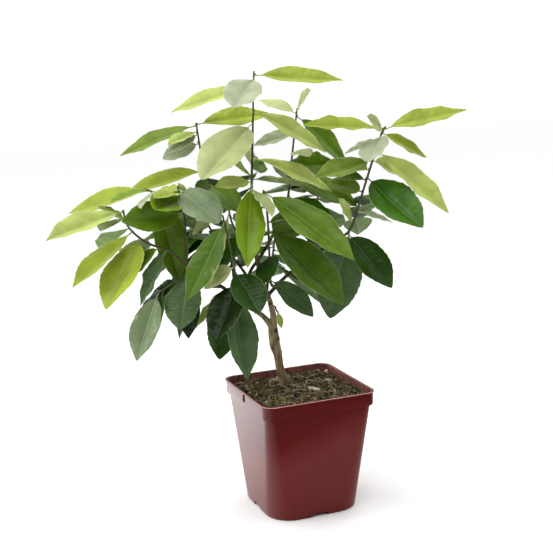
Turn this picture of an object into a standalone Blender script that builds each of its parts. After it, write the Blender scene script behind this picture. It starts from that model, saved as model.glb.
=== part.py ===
"""Potted four seasons lemon tree: a young citrus tree in a square nursery pot.

The pot, its compost, the forked trunk, the tapering boughs and each leafy shoot are separate solids.
Run it from Blender's text editor, or with: blender --background --python part.py
Units are metres, +Z is up, and the origin is the middle of the pot's flat underside.
"""
import math
import random

import bmesh
import bpy
from mathutils import Vector
from mathutils.bvhtree import BVHTree

OBJECT_NAME = "potted_lemon_tree"
MM = 0.001
CLEARANCE = 0.0003

# The pot: a tapering square tub whose corners grow rounder towards the foot
POT_SIDE = 0.1515
POT_HEIGHT = 0.155
FOOT_SIDE = 0.1215
FOOT_CORNER = 0.034
RIM_CORNER = 0.010
FOOT_ROUNDING = 0.002
WALL = 0.0018
FLOOR = 0.0025
HEM_HEIGHT = 0.0022
HEM_WIDTH = 0.00175
BAND_HEIGHT = 0.0175
BAND_STEP = 0.0020
CORNER_STEPS = 5

# Drainage notches at the foot, the slot in the band and the blank raised panel
NOTCH_WIDTH = 0.020
NOTCH_HEIGHT = 0.0045
NOTCH_DEPTH = 0.014
SLOT_WIDTH = 0.0080
SLOT_HEIGHT = 0.0095
SLOT_DROP = 0.0010
PANEL_WIDTH = 0.046
PANEL_HEIGHT = 0.0105
PANEL_PROUD = 0.0006

# The compost: its surface slopes down a little away from the plant's front
SOIL_TOP = 0.1475
SOIL_TOP_BACK = 0.025
SOIL_SLOPE = 0.035
SOIL_LUMP = 0.0012
SOIL_WAVES = (0.011, 0.013, 0.006)
SOIL_FLAT_REACH = 0.016
SOIL_RINGS = 5

# The plant is laid out in its own frame of right, back and up, turned against the pot
PLANT_TURN = math.radians(-22.5)
SEED = 17

# Trunk and boughs. Points are (right, back, up) in millimetres, radii are in millimetres
TRUNK_FOOT = 148
TRUNK = [(-14, 26, 136), (-18, 26, 150), (-22.5, 25, 171), (-24.5, 24, 188), (-27, 24, 198), (-29, 23, 214),
         (-30, 23, 231)]
TRUNK_RADII = [6.2, 5.5, 5.3, 5.6, 6.9, 6.7, 5.6]
TRUNK_ARMS = {
    "left": ([(-29, 23, 222), (-41, 21, 239), (-54, 19, 249)], [4.6, 3.5, 2.9]),
    "middle": ([(-29, 23, 222), (-29, 22, 241), (-32, 21, 257)], [4.8, 4.0, 3.5]),
    "spur": ([(-31, 21, 250), (-30, 14, 255), (-27, 9, 255)], [1.4, 1.2, 1.0]),
}

# Root flares: the heading and reach of each, and the radii that all have from the trunk to their end
ROOT_FLARES = [(5, 12), (130, 9), (235, 9)]
FLARE_RADII = (3.6, 3.8, 2.2)
GROUND_SIZE = (0.2, 0.2, 0.1)

# Each bough: what it grows from, its path and its radii. Those on an arm of the trunk grow on from its end, the
# others have their first point inside what they grow from
BOUGHS = {
    "bough_leader": ("middle", [(-42, 13, 290), (-49, 2, 335), (-50, -4, 385)], (3.5, 2.1)),
    "bough_left": ("left", [(-68, 15, 263), (-92, 4, 283), (-115, -8, 300)], (2.9, 2.0)),
    "bough_right": ("bough_leader", [(-35, 18, 267), (-12, 20, 290), (18, 24, 312), (55, 20, 336)], (2.6, 1.9)),
    "bough_back_upper": ("bough_left", [(-60, 17, 254), (-58, 28, 292), (-40, 36, 318), (-18, 46, 354)],
                         (2.4, 1.9)),
    "bough_left_upper": ("bough_left", [(-76, 12, 270), (-78, 17, 305), (-88, 25, 352), (-100, 30, 395)],
                         (2.1, 1.7)),
    "bough_lower_left": ("bough_left", [(-92, 4, 283), (-110, -15, 289), (-127, -30, 304)], (1.9, 1.6)),
    "bough_far_left": ("bough_left", [(-103, -2, 291), (-121, -28, 307), (-148, -38, 336)], (1.9, 1.6)),
    "bough_front_left": ("bough_left", [(-64, 16, 258), (-70, -4, 267), (-74, -20, 280)], (2.1, 1.8)),
    "bough_front_right": ("bough_right", [(-26, 18, 278), (-29, 9, 282), (-31, 0, 288)], (2.1, 1.8)),
    "bough_middle": ("bough_leader", [(-46, 6, 318), (-58, 4, 330), (-66, 0, 344)], (1.9, 1.6)),
    "bough_back_left": ("bough_back_upper", [(-58, 27, 287), (-74, 52, 305), (-96, 76, 326)], (2.0, 1.7)),
    "bough_back_right": ("bough_right", [(2, 22, 301), (16, 50, 322), (26, 78, 344)], (2.0, 1.7)),
    "bough_back_low": ("bough_leader", [(-36, 17, 271), (-34, 44, 284), (-30, 72, 296)], (2.0, 1.7)),
}

# Shoots. A stem grows on from its bough's tip through "stem"; "leaves" are those that the plant's front shows,
# each (place along the stem, heading, rise, roll, length, width). Heading 0 is right, 90 is back, 180 is left and
# -90 is front; rise is up; roll lifts the leaf's left edge. The "spare" leaves are drawn by the seeded rule:
# their number, the stretch of the stem that they grow on and the headings between which they turn.
SHOOTS = {
    "foliage_leader": dict(
        bough="bough_leader",
        stem=[(-50, -5, 412), (-47, -5, 468), (-43, -5, 547)],
        leaves=[
            (0.97, 5, -5, 30, 108, 38),
            (0.95, -110, -25, -15, 75, 44),
            (0.88, 170, -15, -30, 108, 36),
            (0.70, 20, -30, 40, 110, 38),
            (0.62, -135, -35, -20, 105, 58),
            (0.36, 15, -25, 30, 112, 36),
            (0.20, 30, -10, 10, 85, 30),
            (0.17, -95, -50, -25, 118, 38),
            (0.13, -70, -20, -20, 75, 26),
            (0.18, -135, 0, -35, 60, 24),
            (0.30, 120, 45, 35, 60, 36),
            (0.22, 150, 35, 30, 52, 30),
            (0.27, 70, 5, 50, 44, 26),
        ],
        spare=(5, 0.05, 0.40), turned=(60, 140)),
    "foliage_left_upper": dict(
        bough="bough_left_upper",
        stem=[(-108, 30, 425), (-113, 30, 453), (-117, 30, 486)],
        leaves=[
            (0.97, 25, 5, 35, 102, 36),
            (0.96, 175, -20, -30, 105, 34),
            (0.88, -135, -15, -15, 50, 22),
            (0.84, -140, -15, -25, 50, 24),
            (0.72, -165, -20, -40, 50, 26),
            (0.34, 170, -15, -30, 110, 36),
            (0.15, -60, -20, 20, 80, 34),
        ],
        spare=(5, 0.05, 0.35), turned=(40, 130)),
    "foliage_back_upper": dict(
        bough="bough_back_upper",
        stem=[(-6, 53, 385), (0, 58, 430), (9, 60, 499)],
        leaves=[
            (0.93, 15, -45, 55, 95, 34),
            (0.97, -70, 30, 70, 55, 24),
            (0.95, 140, 15, -20, 65, 24),
            (0.78, 170, -15, -35, 55, 26),
            (0.62, -70, 0, 15, 60, 26),
            (0.50, 55, -25, 70, 75, 36),
            (0.40, -25, -15, 35, 95, 38),
            (0.25, -25, -35, 40, 75, 36),
            (0.34, -5, 0, 35, 62, 20),
            (0.15, -25, -30, 30, 72, 36),
            (0.48, 25, 0, 50, 66, 38),
        ],
        spare=(6, 0.05, 0.60), turned=(60, 190)),
    "foliage_right": dict(
        bough="bough_right",
        stem=[(72, 10, 353), (88, 0, 405), (107, -5, 464), (114, -5, 477)],
        leaves=[
            (0.97, -170, 5, -25, 100, 34),
            (0.96, -130, 30, -70, 38, 20),
            (0.97, 15, 10, 25, 112, 38),
            (0.94, 10, -30, 35, 65, 26),
            (0.92, -115, -30, 10, 55, 38),
            (0.88, 150, -20, -25, 50, 20),
            (0.80, -20, -40, 30, 117, 36),
            (0.72, 40, -25, 50, 60, 26),
            (0.72, -150, -10, -30, 85, 34),
            (0.56, 155, 10, -30, 45, 20),
            (0.58, -50, -30, 30, 105, 50),
            (0.30, 15, -20, 25, 50, 16),
            (0.20, -130, 50, -80, 45, 18),
            (0.15, -160, -75, -65, 116, 58),
            (0.10, -40, -55, 35, 90, 42),
            (0.64, 140, 10, -35, 40, 18),
            (0.46, 160, 15, -35, 48, 28),
        ],
        spare=(5, 0.10, 0.60), turned=(80, 150)),
    "foliage_left": dict(
        bough="bough_left",
        stem=[(-133, -20, 320), (-132, -20, 370), (-139, -20, 414)],
        leaves=[
            (0.97, -40, -30, 25, 75, 46),
            (0.95, 125, -5, -25, 55, 24),
            (0.92, -105, -5, -10, 60, 26),
            (0.97, 75, -15, 55, 40, 20),
            (0.85, -110, 0, -30, 65, 38),
            (0.72, -145, 0, -65, 84, 38),
            (0.60, 40, -10, 40, 30, 18),
        ],
        twig=[(-134, -20, 390), (-155, -22, 402), (-178, -25, 412)],
        twig_leaves=[
            (0.88, 165, -15, -30, 112, 40),
            (0.97, -135, -10, -5, 55, 20),
            (0.80, -95, -15, 30, 50, 20),
            (0.85, 30, -75, 80, 126, 46),
        ],
        spare=(4, 0.40, 0.90), turned=(60, 120)),
    "foliage_far_left": dict(
        bough="bough_far_left",
        stem=[(-178, -42, 350), (-198, -44, 370), (-203, -44, 390)],
        leaves=[
            (0.97, -135, -10, -20, 112, 38),
            (0.65, -125, -25, 0, 115, 38),
            (0.50, -110, -35, 5, 115, 50),
            (0.35, 140, -45, -60, 105, 34),
            (0.85, 160, 25, 0, 40, 20),
            (0.20, 150, -40, -55, 60, 24),
            (0.08, 155, -60, -60, 84, 30),
        ],
        spare=(3, 0.45, 0.95), turned=(95, 145)),
    "foliage_lower_left": dict(
        bough="bough_lower_left",
        stem=[(-146, -42, 300), (-167, -50, 288)],
        leaves=[
            (0.05, -100, -45, 5, 76, 46),
            (0.95, -120, -55, -10, 88, 38),
            (0.80, 145, -35, -35, 60, 22),
            (0.40, 150, -45, -55, 60, 34),
            (0.80, -105, -60, 25, 62, 26),
            (0.12, 120, -70, -85, 90, 36),
            (0.15, -90, -85, 5, 76, 30),
        ],
        spare=(4, 0.05, 0.95), turned=(80, 150)),
    "foliage_front_left": dict(
        bough="bough_front_left",
        stem=[(-72, -48, 303), (-76, -60, 340), (-84, -64, 383)],
        leaves=[
            (0.40, -50, -45, 15, 62, 44),
            (0.25, -110, -40, 5, 85, 46),
            (0.08, -75, -65, -20, 112, 44),
            (0.15, 175, -45, -20, 75, 28),
            (0.04, -165, -75, -75, 88, 42),
            (0.93, -130, -50, -20, 108, 36),
            (0.45, 175, -35, -40, 45, 28),
        ],
        spare=(5, 0.20, 0.90), turned=(0, 150)),
    "foliage_front_right": dict(
        bough="bough_front_right",
        stem=[(-31, -10, 312), (-32, -8, 372), (-36, -4, 404)],
        leaves=[
            (0.97, -35, -30, 30, 148, 46),
            (0.58, -30, -40, 25, 132, 56),
            (0.04, -15, -40, 40, 71, 32),
            (0.32, -95, -30, 30, 50, 34),
            (0.66, -20, 20, 20, 38, 28),
            (0.50, 40, 5, 30, 60, 30),
        ],
        spare=(4, 0.30, 0.90), turned=(10, 170)),
    "foliage_middle": dict(
        bough="bough_middle",
        stem=[(-76, -6, 366), (-80, -10, 392)],
        leaves=[
            (0.75, -115, -55, 35, 95, 28),
            (0.10, -100, -30, 10, 45, 38),
            (0.05, 165, -55, -50, 66, 38),
            (0.97, -150, -20, 0, 60, 34),
            (0.60, 60, -30, 40, 75, 36),
            (0.20, 90, -45, 40, 75, 36),
        ],
        spare=(3, 0.30, 0.90), turned=(20, 160)),
    "foliage_back_left": dict(
        bough="bough_back_left",
        stem=[(-112, 96, 350), (-124, 116, 392)],
        leaves=[],
        spare=(14, 0.05, 0.97), turned=(40, 240)),
    "foliage_back_right": dict(
        bough="bough_back_right",
        stem=[(34, 104, 374), (38, 126, 416)],
        leaves=[],
        spare=(14, 0.05, 0.97), turned=(60, 175)),
    "foliage_back_low": dict(
        bough="bough_back_low",
        stem=[(-26, 104, 312), (-22, 138, 338)],
        leaves=[],
        spare=(12, 0.05, 0.97), turned=(0, 180)),
    "foliage_sprig": dict(
        bough="spur",
        stem=[(-25, 5, 252), (-23, 2, 249)],
        leaves=[
            (0.90, -50, -70, 20, 22, 9),
        ],
        spare=(0, 0.05, 0.95), turned=(0, 90)),
}
LEAD = 0.003
STEM_TIP_RADIUS = 1.1
TWIG_RADII = (1.4, 1.0)

# One leaf: a stalk, then a blade that is folded along its midrib and droops in an arc
LEAF_ROWS = 8
LEAF_SIDES = 4
LEAF_THICK = 0.014
LEAF_FOLD = math.radians(16)
LEAF_DROOP = (8, 22)
LEAF_BOW = 0.025
FULL_SLENDER = 0.85
FULL_RANGE = 0.28
FULL_GAIN = 1.2
SLENDER = 0.34
BLADE_SKEW = 0.92
STALK_SHARE = 0.09
STALK_RADIUS = 0.85
ROOT_BEHIND = 0.012
GOLDEN_TURN = 137.5

# The rule that places leaves: the gap that a leaf keeps, the share of it at its root that may touch its stem, how
# often and how far it is turned before it is given up, and what the spare leaves are like
TEST_SWELL = 0.35
ROOT_SHARE = 0.07
TRIES = 7
TURN_STEP = 4
RISE_STEP = 3
SPARE_LENGTH = (78, 112)
SPARE_SLENDER = (0.36, 0.44)
SPARE_RISE = (-38, -4)
SPARE_ROLL = 25
SPARE_SCATTER = 12
CROWN_MIDDLE = (-45, 30, 350)
CROWN_REACH = (270, 215, 200)

SKIN = {
    "pot": (0.135, 0.021, 0.021, 0.38),
    "soil": (0.045, 0.032, 0.018, 0.95),
    "bark": (0.215, 0.165, 0.095, 0.85),
    "leaf": (0.085, 0.190, 0.030, 0.45),
}


def clear_scene():
    """Remove what the scene holds."""
    for thing in list(bpy.data.objects):
        bpy.data.objects.remove(thing, do_unlink=True)


def new_collection(name):
    """A collection under the scene's own."""
    collection = bpy.data.collections.new(name)
    bpy.context.scene.collection.children.link(collection)
    return collection


def material(kind, name):
    """A Principled material of one of the plain skins."""
    red, green, blue, rough = SKIN[kind]
    skin = bpy.data.materials.new(name)
    skin.use_nodes = True
    shader = skin.node_tree.nodes["Principled BSDF"]
    shader.inputs["Base Color"].default_value = (red, green, blue, 1.0)
    shader.inputs["Roughness"].default_value = rough
    shader.inputs["Metallic"].default_value = 0.0
    return skin


def object_from(bm, name, collection):
    """Make an object of a bmesh, with its faces pointing out."""
    bmesh.ops.recalc_face_normals(bm, faces=bm.faces)
    mesh = bpy.data.meshes.new(name)
    bm.to_mesh(mesh)
    bm.free()
    thing = bpy.data.objects.new(name, mesh)
    collection.objects.link(thing)
    return thing


def finish(thing, kind, smooth_angle=40):
    """Give a part its material and its shading."""
    thing.data.materials.clear()
    thing.data.materials.append(material(kind, thing.name + "_skin"))
    thing.data.shade_smooth()
    thing.data.set_sharp_from_angle(angle=math.radians(smooth_angle))


def boolean(thing, operation, cutter=None, group=None):
    """Cut or join with one object or a collection of them, and apply the result."""
    modifier = thing.modifiers.new("join", "BOOLEAN")
    modifier.operation = operation
    modifier.solver = "EXACT"
    if group is None:
        modifier.object = cutter
    else:
        modifier.operand_type = "COLLECTION"
        modifier.collection = group
    depsgraph = bpy.context.evaluated_depsgraph_get()
    mesh = bpy.data.meshes.new_from_object(thing.evaluated_get(depsgraph))
    thing.modifiers.clear()
    old = thing.data
    thing.data = mesh
    bpy.data.meshes.remove(old)


def remove_collection(collection):
    """Remove a collection with the objects in it."""
    for thing in list(collection.objects):
        bpy.data.objects.remove(thing, do_unlink=True)
    bpy.data.collections.remove(collection)


def weld(thing, distance=1e-6):
    """Weld the points that a curve's caps or a Boolean leave side by side."""
    bm = bmesh.new()
    bm.from_mesh(thing.data)
    bmesh.ops.remove_doubles(bm, verts=bm.verts, dist=distance)
    bmesh.ops.dissolve_degenerate(bm, edges=bm.edges, dist=distance)
    bmesh.ops.recalc_face_normals(bm, faces=bm.faces)
    bm.to_mesh(thing.data)
    bm.free()


def drop_scraps(thing):
    """Keep only the largest connected piece of a mesh."""
    bm = bmesh.new()
    bm.from_mesh(thing.data)
    left = set(bm.verts)
    pieces = []
    while left:
        start = left.pop()
        piece = {start}
        front = [start]
        while front:
            for edge in front.pop().link_edges:
                for corner in edge.verts:
                    if corner not in piece:
                        piece.add(corner)
                        front.append(corner)
        left -= piece
        pieces.append(piece)
    pieces.sort(key=len)
    scraps = [corner for piece in pieces[:-1] for corner in piece]
    bmesh.ops.delete(bm, geom=scraps, context="VERTS")
    bm.to_mesh(thing.data)
    bm.free()


# The pot and its compost


def rounded_square(side, corner, height):
    """The points of a level square with round corners, counter-clockwise."""
    points = []
    inner = side / 2 - corner
    for quarter in range(4):
        middle = math.radians(45 + 90 * quarter)
        centre_x = math.copysign(inner, math.cos(middle))
        centre_y = math.copysign(inner, math.sin(middle))
        for step in range(CORNER_STEPS + 1):
            angle = math.radians(90 * quarter + 90 * step / CORNER_STEPS)
            points.append(Vector((centre_x + corner * math.cos(angle),
                                  centre_y + corner * math.sin(angle), height)))
    return points


def loft(bm, rings):
    """Skin a row of rings that have the same number of points, and close both ends."""
    rows = [[bm.verts.new(point) for point in ring] for ring in rings]
    for lower, upper in zip(rows, rows[1:]):
        for index in range(len(lower)):
            after = (index + 1) % len(lower)
            bm.faces.new((lower[index], lower[after], upper[after], upper[index]))
    bm.faces.new(reversed(rows[0]))
    bm.faces.new(rows[-1])


def body_section(height):
    """Side and corner radius of the pot's outside at a height under the band."""
    share = height / POT_HEIGHT
    top_side = POT_SIDE - 2 * (HEM_WIDTH + BAND_STEP)
    side = FOOT_SIDE + (top_side - FOOT_SIDE) * share
    corner = FOOT_CORNER + (RIM_CORNER - FOOT_CORNER) * share
    return side, corner


def pot_rings():
    """Rings of the pot from the outer edge of the underside, over the rim, to the edge of the inner floor."""
    band_foot = POT_HEIGHT - BAND_HEIGHT
    hem_foot = POT_HEIGHT - HEM_HEIGHT
    band_side = POT_SIDE - 2 * HEM_WIDTH
    inner_band = band_side - 2 * WALL
    side, corner = body_section(0)
    rings = [rounded_square(side - 2 * FOOT_ROUNDING, corner - FOOT_ROUNDING, 0)]
    for height in (FOOT_ROUNDING, band_foot / 3, band_foot * 2 / 3, band_foot - BAND_STEP):
        side, corner = body_section(height)
        rings.append(rounded_square(side, corner, height))
    band_corner = corner + BAND_STEP / 2
    rings.append(rounded_square(band_side - BAND_STEP / 2, band_corner, band_foot))
    rings.append(rounded_square(band_side, band_corner, hem_foot))
    rings.append(rounded_square(POT_SIDE, band_corner + HEM_WIDTH, hem_foot + HEM_WIDTH / 2))
    rings.append(rounded_square(POT_SIDE, band_corner + HEM_WIDTH, POT_HEIGHT - HEM_WIDTH / 2))
    rings.append(rounded_square(POT_SIDE - HEM_WIDTH, band_corner + HEM_WIDTH / 2, POT_HEIGHT))
    rings.append(rounded_square(inner_band, band_corner - WALL / 2, POT_HEIGHT))
    rings.append(rounded_square(inner_band - BAND_STEP / 2, band_corner - WALL / 2, band_foot))
    for height in (band_foot - BAND_STEP, band_foot * 2 / 3, band_foot / 3, FLOOR):
        side, corner = body_section(height)
        rings.append(rounded_square(side - 2 * WALL, corner - WALL, height))
    return rings


def box_cutter(name, size, place, collection):
    """A box that cuts or is joined, not itself a part."""
    bm = bmesh.new()
    bmesh.ops.create_cube(bm, size=1.0)
    for corner in bm.verts:
        corner.co = Vector(place) + Vector(corner.co[axis] * size[axis] for axis in range(3))
    cutter = object_from(bm, name, collection)
    cutter.hide_render = True
    cutter.display_type = "WIRE"
    return cutter


def pot_cutters(collection):
    """Drainage notches at the middle of each side and a slot in the band on one side."""
    reach = FOOT_SIDE / 2
    for side in (-1, 1):
        box_cutter(f"notch_x_{side}", (NOTCH_DEPTH, NOTCH_WIDTH, 2 * NOTCH_HEIGHT), (side * reach, 0, 0), collection)
        box_cutter(f"notch_y_{side}", (NOTCH_WIDTH, NOTCH_DEPTH, 2 * NOTCH_HEIGHT), (0, side * reach, 0), collection)
    height = POT_HEIGHT - HEM_HEIGHT - SLOT_DROP - SLOT_HEIGHT / 2
    deep = 4 * WALL
    reach = POT_SIDE / 2 - WALL
    box_cutter("slot", (deep, SLOT_WIDTH, SLOT_HEIGHT), (-reach, 0, height), collection)


def make_pot(parts):
    """The tub with its band, hem, notches, slot and blank panel."""
    bm = bmesh.new()
    loft(bm, pot_rings())
    pot = object_from(bm, "pot", parts)
    plates = new_collection("plates")
    band_face = POT_SIDE / 2 - HEM_WIDTH
    panel_x = POT_SIDE / 2 - RIM_CORNER - PANEL_WIDTH / 2
    panel_z = POT_HEIGHT - BAND_HEIGHT + BAND_STEP + PANEL_HEIGHT / 2
    box_cutter("panel", (PANEL_WIDTH, 2 * PANEL_PROUD, PANEL_HEIGHT), (panel_x, -band_face, panel_z), plates)
    boolean(pot, "UNION", group=plates)
    remove_collection(plates)
    cutters = new_collection("cutters")
    pot_cutters(cutters)
    boolean(pot, "DIFFERENCE", group=cutters)
    remove_collection(cutters)
    weld(pot)
    finish(pot, "pot", 30)


def soil_height(x, y):
    """Height of the compost: flat round the trunk, else a slope down towards the plant's back with low lumps."""
    back = -x * math.sin(PLANT_TURN) + y * math.cos(PLANT_TURN)
    long_x, long_y, short = SOIL_WAVES
    lump = math.sin(x / long_x + 1.0) * math.cos(y / long_y) + 0.6 * math.sin((x + y) / short)
    foot = plant_point(TRUNK[1])
    distance = math.hypot(x - foot.x, y - foot.y)
    rough = min(1.0, max(0.0, distance / SOIL_FLAT_REACH - 1.0))
    level = SOIL_TOP - SOIL_SLOPE * (back - SOIL_TOP_BACK)
    flat = TRUNK_FOOT * MM - CLEARANCE
    return flat + rough * (level - flat + SOIL_LUMP * lump)


def make_soil(parts):
    """The compost that fills the pot to just under its rim."""
    rings = []
    band_foot = POT_HEIGHT - BAND_HEIGHT
    for height in (FLOOR + CLEARANCE, band_foot / 2, band_foot - BAND_STEP):
        side, corner = body_section(height)
        spare = 2 * (WALL + CLEARANCE)
        rings.append(rounded_square(side - spare, corner - spare / 2, height))
    foot = plant_point(TRUNK[1])
    for ring in range(SOIL_RINGS):
        share = ring / SOIL_RINGS
        points = []
        for point in rounded_square(side - spare, corner - spare / 2, 0):
            spot = point.lerp(Vector((foot.x, foot.y, 0)), share)
            spot.z = soil_height(spot.x, spot.y)
            points.append(spot)
        rings.append(points)
    bm = bmesh.new()
    loft(bm, rings)
    finish(object_from(bm, "soil", parts), "soil", 60)


# Trunk, boughs and stems


def plant_point(point):
    """Metres in the pot's frame for (right, back, up) in millimetres."""
    right, back, up = point
    turn_cos = math.cos(PLANT_TURN)
    turn_sin = math.sin(PLANT_TURN)
    return Vector((right * turn_cos - back * turn_sin, right * turn_sin + back * turn_cos, up)) * MM


def smooth_path(points, steps=4):
    """Points on a smooth curve through the given ones, also past their ends' slopes."""
    ends = [points[0] * 2 - points[1]] + list(points) + [points[-1] * 2 - points[-2]]
    path = []
    for before, start, end, after in zip(ends, ends[1:], ends[2:], ends[3:]):
        for step in range(steps):
            t = step / steps
            path.append(0.5 * (2 * start + (end - before) * t
                               + (2 * before - 5 * start + 4 * end - after) * t ** 2
                               + (3 * start - before - 3 * end + after) * t ** 3))
    path.append(points[-1].copy())
    return path


def spread(values, count):
    """Stretch a short row of numbers evenly to a longer one."""
    result = []
    for index in range(count):
        place = index / (count - 1) * (len(values) - 1)
        low = min(int(place), len(values) - 2)
        result.append(values[low] + (values[low + 1] - values[low]) * (place - low))
    return result


def tube(name, path, radii, resolution, collection):
    """A round tapering limb along a path: a curve with a bevel and filled caps, made a closed mesh."""
    curve = bpy.data.curves.new(name, "CURVE")
    curve.dimensions = "3D"
    curve.bevel_depth = 1.0
    curve.bevel_resolution = resolution
    curve.use_fill_caps = True
    spline = curve.splines.new("POLY")
    spline.points.add(len(path) - 1)
    for point, place, radius in zip(spline.points, path, spread(radii, len(path))):
        point.co = (*place, 1.0)
        point.radius = radius * MM
    limb = bpy.data.objects.new(name, curve)
    collection.objects.link(limb)
    depsgraph = bpy.context.evaluated_depsgraph_get()
    mesh = bpy.data.meshes.new_from_object(limb.evaluated_get(depsgraph))
    bpy.data.objects.remove(limb, do_unlink=True)
    bpy.data.curves.remove(curve)
    solid = bpy.data.objects.new(name, mesh)
    collection.objects.link(solid)
    weld(solid)
    return solid


def limb_tree(thing):
    """A search tree of an object's faces."""
    mesh = thing.data
    return BVHTree.FromPolygons([corner.co for corner in mesh.vertices], [face.vertices for face in mesh.polygons])


def grow_on(path, points):
    """A path that leaves the end of another 0.3 mm clear and square to it, then bends through some points."""
    ahead = (path[-1] - path[-2]).normalized()
    start = path[-1] + ahead * CLEARANCE
    lead = path[-1] + ahead * LEAD
    return [start] + smooth_path([lead] + [plant_point(point) for point in points], 3)


def make_trunk(limbs, parts):
    """The trunk from a level cut at the compost to the ends of its fork's two arms."""
    path = smooth_path([plant_point(point) for point in TRUNK])
    trunk = tube("trunk", path, TRUNK_RADII, 3, parts)
    arms = new_collection("arms")
    for name, (points, radii) in TRUNK_ARMS.items():
        limbs[name] = (smooth_path([plant_point(point) for point in points]), radii)
        tube(name, *limbs[name], 2, arms)
    right, back, up = TRUNK[1]
    for heading, reach in ROOT_FLARES:
        out_right = reach * math.cos(math.radians(heading))
        out_back = reach * math.sin(math.radians(heading))
        flare = [(right, back, up + 10), (right + out_right * 0.4, back + out_back * 0.4, up + 2),
                 (right + out_right, back + out_back, up - 6)]
        tube("flare", smooth_path([plant_point(point) for point in flare]), FLARE_RADII, 1, arms)
    boolean(trunk, "UNION", group=arms)
    remove_collection(arms)
    below = new_collection("below")
    ground = box_cutter("ground", GROUND_SIZE, (0, 0, TRUNK_FOOT * MM - GROUND_SIZE[2] / 2), below)
    boolean(trunk, "DIFFERENCE", cutter=ground)
    remove_collection(below)
    weld(trunk)
    finish(trunk, "bark", 50)
    return trunk


def make_bough(name, limbs, parts):
    """One tapering bough, cut clear of what it grows from."""
    parent, points, radii = BOUGHS[name]
    old_path, old_radii = limbs[parent]
    on_arm = parent in TRUNK_ARMS
    path = grow_on(old_path, points) if on_arm else smooth_path([plant_point(point) for point in points])
    bough = tube(name, path, radii, 1, parts)
    if not on_arm:
        fat = new_collection("fat")
        wide = [radius + CLEARANCE / MM for radius in old_radii]
        shell = tube("shell", old_path, wide, 2, fat)
        boolean(bough, "DIFFERENCE", cutter=shell)
        remove_collection(fat)
        drop_scraps(bough)
        weld(bough)
    limbs[name] = (path, radii)
    finish(bough, "bark", 50)
    return bough


# Leaves and shoots


def row_place(row):
    """Where a row of a leaf's points lies, as a share of its length: root, stalk, then blade."""
    if row == 0:
        return -ROOT_BEHIND
    if row <= 2:
        return STALK_SHARE * (row - 1)
    return STALK_SHARE + (1 - STALK_SHARE) * (row - 2) / (LEAF_ROWS - 2)


def fullness(leaf):
    """How soon the blade narrows towards its ends: broad leaves are rounder than slender ones."""
    broad = leaf["width"] / leaf["length"] - SLENDER
    return FULL_SLENDER - min(FULL_RANGE, max(0.0, FULL_GAIN * broad))


def blade_width(place, power):
    """Half the blade's width at a place, as a share of its greatest half width."""
    if place <= STALK_SHARE or place >= 1:
        return 0.0
    along = (place - STALK_SHARE) / (1 - STALK_SHARE)
    return math.sin(math.pi * along ** BLADE_SKEW) ** power


def leaf_bmesh(leaf, swell=0.0):
    """A leaf: a ball with few sides whose points are moved to the leaf's arc, outline and fold."""
    bm = bmesh.new()
    bmesh.ops.create_uvsphere(bm, u_segments=LEAF_SIDES, v_segments=LEAF_ROWS, radius=1.0)
    heading = math.radians(leaf["heading"]) + PLANT_TURN
    roll = math.radians(leaf["roll"])
    droop = math.radians(leaf["droop"])
    start = math.radians(leaf["rise"]) + droop / 2
    length = leaf["length"] * MM
    ahead = Vector((math.cos(heading), math.sin(heading), 0))
    left = Vector((-math.sin(heading), math.cos(heading), 0))
    sky = Vector((0, 0, 1))
    for corner in bm.verts:
        row = round(math.acos(max(-1.0, min(1.0, corner.co.z))) / math.pi * LEAF_ROWS)
        across = math.atan2(corner.co.y, corner.co.x)
        place = row_place(row)
        slope = start - droop * place
        middle = leaf["root"] + length / droop * (
            ahead * (math.sin(start) - math.sin(slope)) + sky * (math.cos(slope) - math.cos(start)))
        middle += left * (4 * leaf["bow"] * length * place * (1 - place))
        normal = sky * math.cos(slope) - ahead * math.sin(slope)
        side = left * math.cos(roll) + normal * math.sin(roll)
        normal = normal * math.cos(roll) - left * math.sin(roll)
        if row in (0, LEAF_ROWS):
            corner.co = middle
            continue
        half = blade_width(place, fullness(leaf)) * leaf["width"] * MM / 2
        thick = LEAF_THICK * length / 2
        if place <= STALK_SHARE:
            half = STALK_RADIUS * MM
            thick = STALK_RADIUS * MM
        half += swell * MM
        thick += swell * MM
        out = math.cos(across) * half
        corner.co = middle + side * out + normal * (abs(out) * math.tan(LEAF_FOLD) + math.sin(across) * thick)
    return bm


def path_point(path, place):
    """The point at a share of a path's length."""
    lengths = [(end - start).length for start, end in zip(path, path[1:])]
    left = place * sum(lengths)
    for start, end, length in zip(path, path[1:], lengths):
        if left <= length:
            return start.lerp(end, left / length)
        left -= length
    return path[-1].copy()


def touches(leaf, boughs, grown):
    """True where the leaf comes too near a bough, or its blade too near a stem or another leaf."""
    bm = leaf_bmesh(leaf, swell=TEST_SWELL)
    whole = BVHTree.FromBMesh(bm)
    if any(whole.overlap(bough) for bough in boughs):
        bm.free()
        return True
    reach = leaf["length"] * MM * ROOT_SHARE
    near = [corner for corner in bm.verts if (corner.co - leaf["root"]).length < reach]
    bmesh.ops.delete(bm, geom=near, context="VERTS")
    tree = BVHTree.FromBMesh(bm)
    bm.free()
    return any(tree.overlap(other) for other in grown)


def leaf_tree(leaf):
    """A search tree of the leaf as it is built."""
    bm = leaf_bmesh(leaf)
    tree = BVHTree.FromBMesh(bm)
    bm.free()
    return tree


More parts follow.
